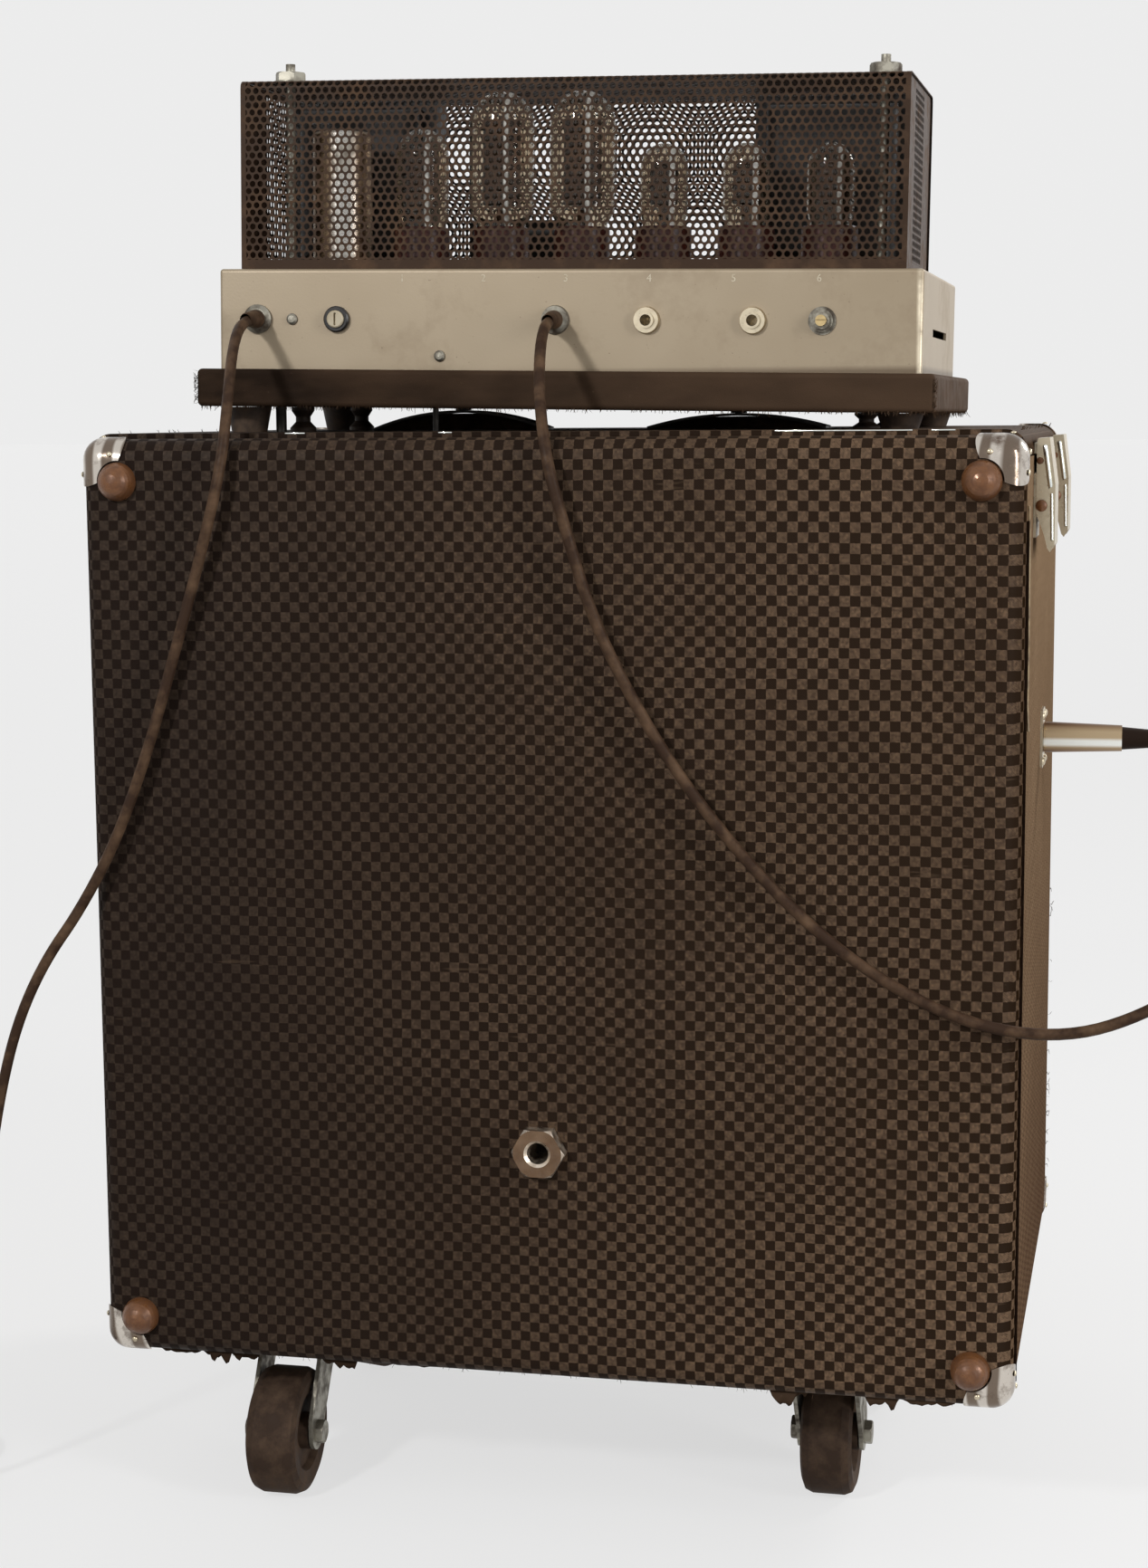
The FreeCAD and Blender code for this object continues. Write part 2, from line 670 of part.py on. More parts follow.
def shock_mount(x, y):
    h = gap_at(x, 13.5)
    return turned([(0, 0), (10.5, 0), (13.5, h), (0, h)], (x, y, lid_top))


def spool(x, y):
    h = gap_at(x, 7.0)
    outline = [(0, 0), (8, 0), (8, 0.15 * h), (4.5, 0.4 * h), (4.5, 0.6 * h), (7, 0.85 * h), (7, h), (0, h)]
    return turned(outline, (x, y, lid_top))


def head_corners(dx, dy):
    return [(head_x + sx * dx, mid_y + sy * dy) for sx in (-1, 1) for sy in (-1, 1)]


keep("shock_mounts", *[shock_mount(x, y) for x, y in head_corners(mount_x, mount_y)],
     *[spool(x, y) for x, y in head_corners(spool_x, spool_y)])


def leaf_spring(x):
    """A bowed strip whose ends rest on the lid and whose crest carries a spacer."""
    low, crest = lid_top, lid_top + gap_at(x, 5.0) - leaf_spacer
    half = leaf_length / 2
    y0 = mid_y - leaf_width / 2

    def arc(lift, top):
        return Part.Arc(Vector(x - half, y0, low + lift), Vector(x, y0, top),
                        Vector(x + half, y0, low + lift))

    upper, lower = arc(leaf_thick, crest), arc(0.0, crest - leaf_thick)
    ends = [Part.LineSegment(upper.EndPoint, lower.EndPoint),
            Part.LineSegment(lower.StartPoint, upper.StartPoint)]
    wire = Part.Wire(Part.__sortEdges__([e.toShape() for e in [upper, lower] + ends]))
    strip = Part.Face(wire).extrude(Vector(0, leaf_width, 0))
    return [strip, ring((x, mid_y, crest), (0, 0, 1), 5.0, 2.0, leaf_spacer)]


gap_bolts = [rod((x, mid_y - 92, lid_top), (0, 0, 1), radius, gap_at(x, radius))
             for x, radius in ((head_x - 176, 3.2), (head_x - 80, 1.8))]
keep("leaf_springs", *leaf_spring(head_x - leaf_x), *leaf_spring(head_x + leaf_x), *gap_bolts)

# ---------------------------------------------------------------- chassis

low_screw_z = chassis_z + 8.3
tube_xs = [i * tube_pitch for i in (-2, -1, 0, 1, 2, 3)]
control_z = chassis_z + 30.0

half_w, s = chassis_width / 2, chassis_sheet
chassis = box(head_x - half_w, head_x + half_w, chassis_back, chassis_front, chassis_z, chassis_top)
chassis = rounded(chassis, chassis_bend, lambda e: middle(e).z > chassis_z + 1)
chassis = chassis.cut(box(head_x - half_w + s, head_x + half_w - s, chassis_back + s, chassis_front - s,
                          chassis_z - 1, chassis_top - s))
rear_holes = [(grommet_x, panel_z, grommet_radius), (clip_screw_x, panel_z, 1.6),
              (fuse_x, panel_z, fuse_radius),
              (low_screw_x, low_screw_z, 1.6), (ferrule_x, panel_z, ferrule_radius - 2),
              (hum_x, panel_z, hum_bush)]
rear_holes += [(x, panel_z, jack_bush) for x in jack_xs]
chassis = without(chassis, [rod((head_x + x, chassis_back - 1, z), (0, 1, 0), r + running, s + 2)
                            for x, z, r in rear_holes])
front_holes = [(x, pot_bush) for x in knob_xs] + [(x, jack_bush) for x in input_xs]
front_holes += [(switch_x, pot_bush + 1), (lamp_x, 6.0)]
chassis = without(chassis, [rod((head_x + x, chassis_front - s - 1, control_z), (0, 1, 0), r + running,
                                s + 2)
                            for x, r in front_holes])
chassis = without(chassis, [rod((head_x + tube_shift + x, tube_y, chassis_top - s - 1), (0, 0, 1),
                                socket_radius + running, s + 2) for x in tube_xs])
stud_places = [(sx * stud_x, cage_back + stud_y) for sx in (-1, 1)]
chassis = without(chassis, [rod((x, y, chassis_top - s - 1), (0, 0, 1), stud_radius + running, s + 2)
                            for x, y in stud_places])
chassis = chassis.cut(box(head_x + half_w - s - 1, head_x + half_w + 1, chassis_back + slot_y0,
                          chassis_back + slot_y1, chassis_z + slot_low, chassis_z + slot_high))
keep("chassis", chassis)


def cage_stud(x, y):
    """A long screw from under the chassis's top to above the cage."""
    low = chassis_top - s
    long_rod = rod((x, y, low - 4), (0, 0, 1), stud_radius, cage_top + stud_rise - low + 4)
    return fused([long_rod, hexagon((x, y, low), (0, 0, -1), 10.0, 4.0)])


def pan_screw(x, z):
    outline = [(0, -8), (1.6, -8), (1.6, 0), (3.4, 0), (3.2, 1.2), (2.0, 2.0), (0, 2.2)]
    return turned(outline, (head_x + x, chassis_back, z), (0, -1, 0))


grommet_face = chassis_back - 4.0
grommet = turned([(cord_radius, -5), (grommet_radius, -5), (grommet_radius, 0), (grommet_radius + 1.5, 0),
                  (grommet_radius + 1.5, 2.2), (grommet_radius - 1, 4), (cord_radius, 4)],
                 (head_x + grommet_x, chassis_back, panel_z), (0, -1, 0))
ferrule = turned([(cord_radius, -6), (ferrule_radius - 2, -6), (ferrule_radius - 2, 0), (ferrule_radius, 0),
                  (ferrule_radius - 0.6, 2.6), (cord_radius + 1, 4), (cord_radius, 4)],
                 (head_x + ferrule_x, chassis_back, panel_z), (0, -1, 0))
lamp = turned([(0, -14), (6, -14), (6, 0), (9, 0), (9, 2.5), (7, 3), (5, 7), (0, 9)],
              (head_x + lamp_x, chassis_front, control_z), (0, 1, 0))
keep("chassis_fittings", *[cage_stud(x, y) for x, y in stud_places], pan_screw(clip_screw_x, panel_z),
     pan_screw(low_screw_x, low_screw_z), grommet, ferrule, lamp)


def quarter_inch_jack(x, face_y, z, outward):
    """A panel jack: bush, outside nut and washer, and a body inside the chassis."""
    start, aim = (head_x + x, face_y, z), (0, outward, 0)
    body = turned([(0, -26), (8, -26), (8, -chassis_sheet), (jack_bush, -chassis_sheet), (jack_bush, 0.0),
                   (7.8, 0.0), (7.8, 0.8), (7.2, 3.2), (jack_bush, 3.2), (jack_bush, 4.6), (0, 4.6)],
                  start, aim)
    return body.cut(rod((start[0], face_y + outward * 6, z), (0, -outward, 0), jack_bore, 30))


keep("rear_jacks", *[quarter_inch_jack(x, chassis_back, panel_z, -1) for x in jack_xs])
keep("input_jacks", *[quarter_inch_jack(x, chassis_front, control_z, 1) for x in input_xs])

holder = turned([(0, -fuse_depth), (fuse_radius, -fuse_depth), (fuse_radius, 0), (7.6, 0), (7.6, 2.4),
                 (6.8, 3.2),
                 (fuse_cap_radius + 0.1, 3.2), (fuse_cap_radius + 0.1, -3), (0, -3)],
                (head_x + fuse_x, chassis_back, panel_z), (0, -1, 0))
keep("fuse_holder", holder)
fuse_cap = turned([(0, -2.7), (fuse_cap_radius, -2.7), (fuse_cap_radius, 4.6), (4.4, 5.2), (0, 5.2)],
                  (head_x + fuse_x, chassis_back, panel_z), (0, -1, 0))
fuse_cap = fuse_cap.cut(box(head_x + fuse_x - 0.7, head_x + fuse_x + 0.7, chassis_back - 6,
                            chassis_back - 3.6,
                            panel_z - 3.6, panel_z + 3.6))
keep("fuse_cap", fuse_cap)


def pot(x, face_y, z, outward, bush, shaft, collar=8.0):
    """A rotary control: its can inside the chassis, its bush, washer and nut."""
    body = turned([(0, -16), (12, -16), (12, -chassis_sheet - 2), (bush, -chassis_sheet - 2), (bush, 0),
                   (collar, 0), (collar, 0.8), (6.4, 0.8), (6.4, 3.0), (bush, 3.0), (bush, 5.0), (0, 5.0)],
                  (head_x + x, face_y, z), (0, outward, 0))
    return body.cut(rod((head_x + x, face_y + outward * 6, z), (0, -outward, 0), shaft + running, 18))


switch_bush = turned([(0, -18), (8, -18), (8, -chassis_sheet), (pot_bush + 1, -chassis_sheet),
                      (pot_bush + 1, 0),
                      (8, 0), (8, 2.4), (pot_bush + 1, 2.4), (pot_bush + 1, 6), (5.1, 6),
                      (bat_ball + fit, -2),
                      (bat_ball + fit, -8), (0, -8)],
                     (head_x + switch_x, chassis_front, control_z), (0, 1, 0))
keep("control_pots", *[pot(x, chassis_front, control_z, 1, pot_bush, pot_shaft) for x in knob_xs],
     pot(hum_x, chassis_back, panel_z, -1, hum_bush, pot_shaft), switch_bush)

hum_shaft = rod((head_x + hum_x, chassis_back + 10, panel_z), (0, -1, 0), pot_shaft, 17.5)
hum_shaft = hum_shaft.cut(box(head_x + hum_x - 4, head_x + hum_x + 4, chassis_back - 8, chassis_back - 6,
                              panel_z - 0.6, panel_z + 0.6))
keep("hum_shaft", hum_shaft)


def knob(x):
    """A skirted knob on its shaft, with a pointer groove."""
    start, aim = (head_x + x, chassis_front, control_z), (0, 1, 0)
    skirt = turned([(0, 5.5), (13, 5.5), (13, 7.5), (9.5, 10), (9.0, 21), (8, 22), (0, 22)], start, aim)
    shaft = rod((head_x + x, chassis_front - 10, control_z), aim, pot_shaft, 16)
    whole = fused([skirt, shaft])
    return whole.cut(box(head_x + x - 0.5, head_x + x + 0.5, chassis_front + 21, chassis_front + 23,
                         control_z, control_z + 9))


for i, x in enumerate(knob_xs):
    keep("knob_%d" % (i + 1), knob(x))

ball = [(bat_ball * math.cos(math.radians(a)), bat_pivot + bat_ball * math.sin(math.radians(a)))
        for a in (-90, -60, -30, 0, 30, 50)]
bat = turned([(0, ball[0][1])] + ball[1:] + [(1.8, 6), (3.0, 20), (2.4, 22.4), (0, 23)],
             (head_x + switch_x, chassis_front, control_z), (0, 1, 0))
bat.rotate(Vector(head_x + switch_x, chassis_front + bat_pivot, control_z), Vector(1, 0, 0), -bat_swing)
keep("power_switch", bat)

# ---------------------------------------------------------------- valves, can and transformers

kinds = [rectifier, power, power, twin, twin, twin]
seat_z = chassis_top + 2.0


def valve_parts(x, radius, height):
    """Socket, base, glass and the metalwork inside the glass of one valve."""
    base_r, base_h = octal
    socket = turned([(0, -9), (12, -9), (socket_radius, -6), (socket_radius, 0), (18.5, 0), (18.5, 2),
                     (0, 2)],
                    (x, tube_y, chassis_top))
    base = turned([(0, 0), (base_r - 1, 0), (base_r, 1.5), (base_r, base_h - 2), (base_r - 1, base_h),
                   (0, base_h)],
                  (x, tube_y, seat_z))
    low, high = base_h, height - 2.0
    neck = min(radius, base_r) - 1.6
    belly = low + 9.0

    def skin(t):
        r = radius - t
        dome = [(r * math.cos(math.radians(15 * i)), high - radius + r * math.sin(math.radians(15 * i)))
                for i in range(6)]
        return [(neck - t, low), (neck - t, low + 2), (r, belly)] + dome + [(0, high - t)]

    shell = skin(0.0) + skin(glass_wall)[::-1]
    glass = turned(shell, (x, tube_y, seat_z))
    core = 0.58 * radius
    stack = turned([(0, low), (3, low), (3, belly + 4), (core, belly + 4), (core, high - radius + 2),
                    (2, high - radius + 2), (2, high - radius + 5), (0, high - radius + 5)],
                   (x, tube_y, seat_z))
    return socket, base, glass, stack


valves = [valve_parts(head_x + tube_shift + x, *kind) for x, kind in zip(tube_xs, kinds)]
keep("tube_bases", *[v[0] for v in valves], *[v[1] for v in valves])
keep("tube_glass", *[v[2] for v in valves])
keep("tube_plates", *[v[3] for v in valves])

can = turned([(0, 0), (can_radius, 0), (can_radius, 3), (can_radius - 0.8, 4),
              (can_radius - 0.8, can_height - 1.5),
              (can_radius - 2.3, can_height), (0, can_height)], (head_x + can_x, tube_y, chassis_top))
keep("capacitor_can", can)


def transformer(x0, x1, y0, y1, height, bell, roundness):
    """A laminated core between two pressed bells, standing on four feet of its own core."""
    core = box(x0, x1, y0 + bell, y1 - bell, chassis_top, chassis_top + height)
    pieces = [core]
    for start, end in ((y0, y0 + bell), (y1 - bell, y1)):
        cover = box(x0 + 8, x1 - 8, start, end, chassis_top + 6, chassis_top + height - 6)
        outer_y = start if start == y0 else end
        pieces.append(rounded(cover, roundness, lambda e: abs(middle(e).y - outer_y) < 1e-3))
    return fused(pieces)


trans_y0, trans_y1 = cage_back + 72.0, cage_front - 6.0
keep("transformers", transformer(head_x - 194.0, head_x - 102.0, trans_y0, trans_y1, 106.0, 18.0, 9.0),
     transformer(head_x + 96.0, head_x + 190.0, trans_y0, trans_y1, 106.0, 18.0, 9.0),
     transformer(head_x - 80.0, head_x - 10.0, trans_y0 + 6, trans_y1 - 6, 34.0, 12.0, 6.0))

board_z = chassis_top - s - 18.0
strip = box(head_x - 150, head_x + 150, mid_y - 10, mid_y + 60, board_z, board_z + 2)
posts = [rod((head_x + sx * 140, mid_y + dy, board_z + 2), (0, 0, 1), 3.0, 16.0) for sx in (-1, 1)
         for dy in (-2, 52)]
keep("component_board", fused([strip] + posts),
     *[rod((head_x - 120 + 34 * i, mid_y + 8, board_z - 6.0), (0, 1, 0), 6.0, 34.0) for i in range(8)])

# ---------------------------------------------------------------- cage

half_c = cage_width / 2
cage = box(head_x - half_c, head_x + half_c, cage_back, cage_front, chassis_top + fit, cage_top)
cage = rounded(cage, cage_bend, lambda e: along(e, 0) and middle(e).z > cage_top - 1)
cavity = box(head_x - half_c + cage_sheet, head_x + half_c - cage_sheet, cage_back + cage_sheet,
             cage_front - cage_sheet, chassis_top - 1, cage_top - cage_sheet)
cavity = rounded(cavity, cage_bend - cage_sheet, lambda e: along(e, 0) and middle(e).z > cage_top - 5)
cage = cage.cut(cavity)
cage = without(cage, [rod((x, y, cage_top - 10), (0, 0, 1), stud_radius + fit, 20) for x, y in stud_places])
keep("cage_shell", cage)


def cage_nut(x, y):
    washer = ring((x, y, cage_top), (0, 0, 1), 9.5, stud_radius + fit, 1.2)
    return [washer, hexagon((x, y, cage_top + 1.2), (0, 0, 1), cage_nut_hex, cage_nut_height,
                            stud_radius + fit)]


keep("cage_nuts", *cage_nut(*stud_places[0]), *cage_nut(*stud_places[1]))


# ---------------------------------------------------------------- the head's lean

head_nodes = ["platform_board", "chassis", "chassis_fittings", "rear_jacks", "input_jacks", "fuse_holder",
              "fuse_cap",
              "control_pots", "hum_shaft", "power_switch", "tube_bases", "tube_glass", "tube_plates",
              "capacitor_can", "transformers", "component_board", "cage_shell", "cage_nuts"]
head_nodes += ["knob_%d" % (i + 1) for i in range(len(knob_xs))]
lean_pivot, lean_axis = Vector(0, 0, platform_z), Vector(0, 1, 0)
for name in head_nodes:
    for solid in parts[name]:
        solid.rotate(lean_pivot, lean_axis, head_lean)


def leaning(x, y, z):
    """Where a point of the upright head goes when it leans."""
    return lean_pivot + FreeCAD.Rotation(lean_axis, head_lean).multVec(Vector(x, y, z) - lean_pivot)


# ---------------------------------------------------------------- cords

def routed(points, start, end):
    """A hand-chosen route, carried along when either of its ends moves."""
    held = 3                                   # points at each end that keep their shape
    first, last = start - Vector(*points[0]), end - Vector(*points[-1])
    route = []
    for i, point in enumerate(points):
        share = min(max((i - held) / (len(points) - 1 - 2 * held), 0.0), 1.0)
        route.append(Vector(*point) + first * (1 - share) + last * share)
    return route


def cord_path(points, name):
    """Straight runs joined by arcs as large as the two runs allow; prints the radii."""
    edges, radii, here = [], [], points[0]
    for before, corner, after in zip(points, points[1:], points[2:]):
        inward, outward = corner - before, after - corner
        reach = 0.45 * min(inward.Length, outward.Length)
        turn = inward.getAngle(outward)
        radii.append(reach / math.tan(turn / 2))
        inward.normalize()
        outward.normalize()
        start, end = corner - inward * reach, corner + outward * reach
        centre = corner + (outward - inward).normalize() * (radii[-1] / math.cos(turn / 2))
        mid = centre + (corner - centre).normalize() * radii[-1]
        edges.append(Part.LineSegment(here, start).toShape())
        edges.append(Part.Arc(start, mid, end).toShape())
        here = end
    edges.append(Part.LineSegment(here, points[-1]).toShape())
    path = Part.Wire(edges)
    print(name, "length %.0f mm, radii from %.0f:" % (path.Length, min(radii)), [round(r) for r in radii])
    return path


def cord(points, name):
    path = cord_path(points, name)
    section = Part.Wire(Part.makeCircle(cord_radius, points[0], points[1] - points[0]))
    solid = path.makePipeShell([section], True, False)
    share = solid.Volume / (math.pi * cord_radius ** 2 * path.Length)
    print(name, "volume over section times length: %.4f" % share, solid.isValid())
    return solid


grommet_at = leaning(head_x + grommet_x, grommet_face, panel_z)
coil_start = coil_centre + Vector(coil_turn_radius + (coil_columns - 1) * cord_radius, 0, cord_radius + 0.2)
mains_points = [(-188.2, -108.3, 707.4), (-188, -134, 706), (-184, -163, 690), (-178, -190, 661),
                (-177, -206, 625),
                (-189, -205, 580), (-205, -203, 530), (-224, -203, 468), (-246, -203, 411),
                (-270, -204, 368),
                (-293, -205, 337), (-311, -206, 300), (-323, -207, 256), (-333, -206, 204),
                (-343, -204, 152),
                (-352, -202, 104), (-360, -199, 64), (-366, -191, 30), (-370, -171, 9), (-371, -146, 3.4)]
keep("mains_cord", cord(routed(mains_points, grommet_at, coil_start), "mains cord"))

coil_low, coil_high = 0.0, coil_layers * 2 * cord_radius
half_columns = coil_columns * cord_radius
inner_r, outer_r = coil_turn_radius - half_columns, coil_turn_radius + half_columns
bevel = cord_radius
coil_outline = [(inner_r, bevel), (inner_r + bevel, coil_low), (outer_r - bevel, coil_low),
                (outer_r, bevel),
                (outer_r, coil_high - bevel), (outer_r - bevel, coil_high), (inner_r + bevel, coil_high),
                (inner_r, coil_high - bevel)]
keep("mains_coil", turned(coil_outline, coil_centre))

plug_x = coil_centre.x - coil_turn_radius - (coil_columns - 1) * cord_radius
plug_y = coil_centre.y - 13.0
mains_plug = turned([(0, 0), (4.4, 0), (6.0, 24), (plug_radius, 30), (plug_radius, 58),
                     (plug_radius - 1.5, 60),
                     (0, 60)], (plug_x, plug_y, plug_radius), (0, -1, 0))
blades = [box(plug_x + dx - 0.8, plug_x + dx + 0.8, plug_y - 77, plug_y - 59, plug_radius - 3.2,
              plug_radius + 3.2)
          for dx in (-6.35, 6.35)]
keep("mains_plug", fused([mains_plug] + blades))

barrel_start = jack_face + fit
boot_end = barrel_start + barrel + boot
speaker_plug = fused([
    rod((barrel_start - 33, jy, jz), (1, 0, 0), plug_pin_radius, 33),
    turned([(0, 0), (9.5, 0), (9.5, 1), (8.0, barrel), (0, barrel)], (barrel_start, jy, jz), (1, 0, 0)),
    turned([(0, 0), (7.0, 0), (4.2, boot), (0, boot)], (barrel_start + barrel, jy, jz), (1, 0, 0))])
keep("speaker_plug", speaker_plug)

ferrule_at = leaning(head_x + ferrule_x, grommet_face, panel_z)
speaker_points = [(-8.2, -108.3, 704.4), (-7, -134, 703), (-4, -163, 687), (2, -191, 657),
                  (10, -206, 621), (20, -205, 586),
                  (34, -204, 539), (58, -204, 491), (87, -204, 446), (121, -204, 405), (160, -204, 367),
                  (204, -204, 337), (250, -205, 319), (296, -203, 316), (336, -195, 329), (369, -176, 349),
                  (395, -145, 373), (411, -106, 397), (415, -68, 418), (417, -36, 433), (414, -4, 442),
                  (400, 20, 448), (374.5, 29.4, 451.5), (349.5, 29.4, 451.5)]
keep("speaker_cord", cord(routed(speaker_points, ferrule_at, Vector(boot_end, jy, jz)), "speaker cord"))

# ---------------------------------------------------------------- write

os.makedirs("parts", exist_ok=True)
for name, solids in parts.items():
    shape = solids[0] if len(solids) == 1 else Part.makeCompound(solids)
    shape.exportStep("parts/%s.step" % name)
print(len(parts), "nodes,", sum(len(v) for v in parts.values()), "solids,",
      [n for n, v in parts.items() if not v or not all(solid.isValid() for solid in v)], "invalid")
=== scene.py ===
# %% [markdown]
# # A valve guitar amplifier on its speaker box
# The CAD frame gives every part its size, its place and its motion. This file adds what the CAD
# leaves out: the camera, the light, the finishes, and the few pieces whose looks need a mesh of
# their own, such as the perforated cage, the cords and the frayed covering.

import math

import bmesh
import bpy
import numpy as np
from mathutils import Matrix, Vector, noise


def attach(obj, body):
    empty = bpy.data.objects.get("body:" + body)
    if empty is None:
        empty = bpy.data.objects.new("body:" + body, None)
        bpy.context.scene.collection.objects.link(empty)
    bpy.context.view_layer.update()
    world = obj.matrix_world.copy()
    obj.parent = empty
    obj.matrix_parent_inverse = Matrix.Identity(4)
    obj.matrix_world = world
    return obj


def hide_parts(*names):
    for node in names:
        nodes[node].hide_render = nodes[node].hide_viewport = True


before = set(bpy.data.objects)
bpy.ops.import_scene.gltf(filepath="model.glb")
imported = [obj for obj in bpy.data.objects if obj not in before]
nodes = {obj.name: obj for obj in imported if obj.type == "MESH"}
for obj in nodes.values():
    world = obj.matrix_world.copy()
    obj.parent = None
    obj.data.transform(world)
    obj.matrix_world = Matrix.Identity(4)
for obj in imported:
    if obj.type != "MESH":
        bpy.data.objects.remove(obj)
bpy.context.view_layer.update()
mm = 0.001

# %% [markdown]
# ## Camera
# The view is from behind and a little to the right, at lid height, with a portrait lens. The
# rotation is written as three directions, because a small roll is easier to read that way.

# %% Camera
yaw, pitch, roll = math.radians(12.37), math.radians(7.71), -0.0067
ahead = Vector((-math.sin(yaw) * math.cos(pitch), math.cos(yaw) * math.cos(pitch), -math.sin(pitch)))
level = Vector((math.cos(yaw), math.sin(yaw), 0.0))
upright = level.cross(ahead)
right = level * math.cos(roll) + upright * math.sin(roll)
above = upright * math.cos(roll) - level * math.sin(roll)


def placed(name, data):
    """An object of some data, linked to the scene."""
    made = bpy.data.objects.new(name, data)
    bpy.context.scene.collection.objects.link(made)
    return made


lens = bpy.data.cameras.new("rear_view")
lens.sensor_width = 36.0
lens.lens = 62.92
camera = placed("rear_view", lens)
turn = Matrix((right, above, -ahead)).transposed().to_4x4()
eye = (0.3446, -1.6703, 0.6511)
camera.matrix_world = Matrix.Translation(eye) @ turn
bpy.context.scene.camera = camera
bpy.context.scene.view_settings.view_transform = "Standard"
print("camera looks along", [round(v, 3) for v in ahead])

# %% [markdown]
# ## Colours
# A colour picked by eye is a display colour from 0 to 255. Shaders work in linear light, so a
# helper changes one into the other, and every finish below can name colours as seen.


# %% Colours
def ink(red, green, blue):
    """A display colour from 0 to 255 as a linear colour."""
    channels = [c / 255 for c in (red, green, blue)]
    return [c / 12.92 if c <= 0.04045 else ((c + 0.055) / 1.055) ** 2.4 for c in channels] + [1.0]


print("a middle grey is", [round(c, 3) for c in ink(128, 128, 128)])

# %% [markdown]
# ## Tools for finishes
# Every finish is a Principled surface whose colour and roughness come from a few shared node
# patterns. A small class keeps each pattern to one call, so a finish reads like a recipe. The
# patterns read object coordinates, so they keep their size in metres on every part.


# %% Tools for finishes
class Finish:
    """A material with short calls for the nodes that several finishes share."""

    def __init__(self, name, roughness=0.5, metallic=0.0):
        self.material = bpy.data.materials.new(name)
        self.material.use_nodes = True
        self.tree = self.material.node_tree
        self.surface = self.tree.nodes["Principled BSDF"]
        self.surface.inputs["Roughness"].default_value = roughness
        self.surface.inputs["Metallic"].default_value = metallic
        self.where = self.tree.nodes.new("ShaderNodeTexCoord")
        self.place = self.where.outputs["Object"]

    def node(self, kind, feeds=(), **settings):
        made = self.tree.nodes.new("ShaderNode" + kind)
        for name, value in settings.items():
            setattr(made, name, value)
        for socket, value in dict(feeds).items():
            self.feed(made.inputs[socket], value)
        return made

    def feed(self, socket, value):
        if isinstance(value, bpy.types.NodeSocket):
            self.tree.links.new(value, socket)
        else:
            socket.default_value = value

    def sum(self, operation, first, second=0.0, third=0.0):
        return self.node("Math", {0: first, 1: second, 2: third}, operation=operation).outputs[0]

    def vector(self, operation, first, second):
        made = self.node("VectorMath", {0: first, 1: second}, operation=operation)
        return made.outputs[0]

    def spread(self, value, low, high, start=0.0, end=1.0):
        """Stretches low..high to start..end, and stops there."""
        return self.node("MapRange", {0: value, 1: low, 2: high, 3: start, 4: end}).outputs[0]

    def mix(self, share, first, second):
        made = self.node("Mix", data_type="RGBA")
        for socket, value in ((made.inputs[0], share), (made.inputs[6], first), (made.inputs[7], second)):
            self.feed(socket, value)
        return made.outputs[2]

    def stretched(self, scale):
        return self.node("Mapping", {"Vector": self.place, "Scale": scale}).outputs[0]

    def cloud(self, scale, detail=4.0, rough=0.6, place=None):
        made = self.node("TexNoise", {"Vector": place or self.place, "Scale": scale, "Detail": detail,
                                      "Roughness": rough})
        return made.outputs["Fac"]

    def axis(self, letter):
        return self.node("SeparateXYZ", {0: self.place}).outputs[letter]

    def paint(self, colour=None, rough=None, metallic=None):
        for socket, value in (("Base Color", colour), ("Roughness", rough), ("Metallic", metallic)):
            if value is not None:
                self.feed(self.surface.inputs[socket], value)
        return self

    def bumps(self, height, depth, strength=1.0):
        """Raises the surface by height times depth metres."""
        made = self.node("Bump", {"Height": height, "Distance": depth, "Strength": strength})
        self.tree.links.new(made.outputs[0], self.surface.inputs["Normal"])
        return self

    def shine(self, level):
        self.feed(self.surface.inputs["Specular IOR Level"], level)
        return self

    def now(self, name):
        """What feeds a socket of the surface so far, so that a later layer can go over it."""
        return self.surface.inputs[name].links[0].from_socket

    def facing(self, letter):
        """One part of the direction that the surface faces, from -1 to 1."""
        return self.node("SeparateXYZ", {0: self.where.outputs["Normal"]}).outputs[letter]


print("finish tools ready")

# %% [markdown]
# ## Dressing the CAD parts
# The CAD parts already have meshes and places, so they only need a material. It is linked to the
# object and not to the mesh, which leaves the CAD mesh as it came.


# %% Dressing the CAD parts
def dress(finish, *names):
    """Puts a finish on CAD nodes."""
    for name in names:
        holder = nodes[name]
        if not holder.material_slots:
            holder.data.materials.append(finish.material)
        for place in holder.material_slots:
            place.link = "OBJECT"
            place.material = finish.material


print("ready to dress", len(nodes), "parts")

# %% [markdown]
# ## Tools for pieces
# New pieces start as a bmesh, and a shared helper turns one into an object that rides on a CAD
# body. It merges doubles and turns the faces outward first, because a spun or mirrored shape can
# come out inside out.


# %% Tools for pieces
def piece(name, bm, finish, body, replaced=(), smooth=True, sharp=40.0):
    """Makes an object of a bmesh, with its normals outward, and rides it on a body."""
    bmesh.ops.remove_doubles(bm, verts=bm.verts[:], dist=1e-6)
    bmesh.ops.recalc_face_normals(bm, faces=bm.faces[:])
    mesh = bpy.data.meshes.new(name)
    bm.to_mesh(mesh)
    bm.free()
    if smooth:
        mesh.shade_smooth()
        mesh.set_sharp_from_angle(angle=math.radians(sharp))
    mesh.materials.append(finish.material)
    return settle(placed(name, mesh), body, replaced)


def settle(made, body, replaced=()):
    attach(made, body)
    if replaced:
        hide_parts(*replaced)
    return made


print("piece tools ready")

# %% [markdown]
# ## Round, square and thread-like shapes
# Rivets, nails and sleeves are turned parts, so each is spun from half of its section about its
# own axis. Trim is cut bar, so it is a bevelled box. A thread is a row of small rings.


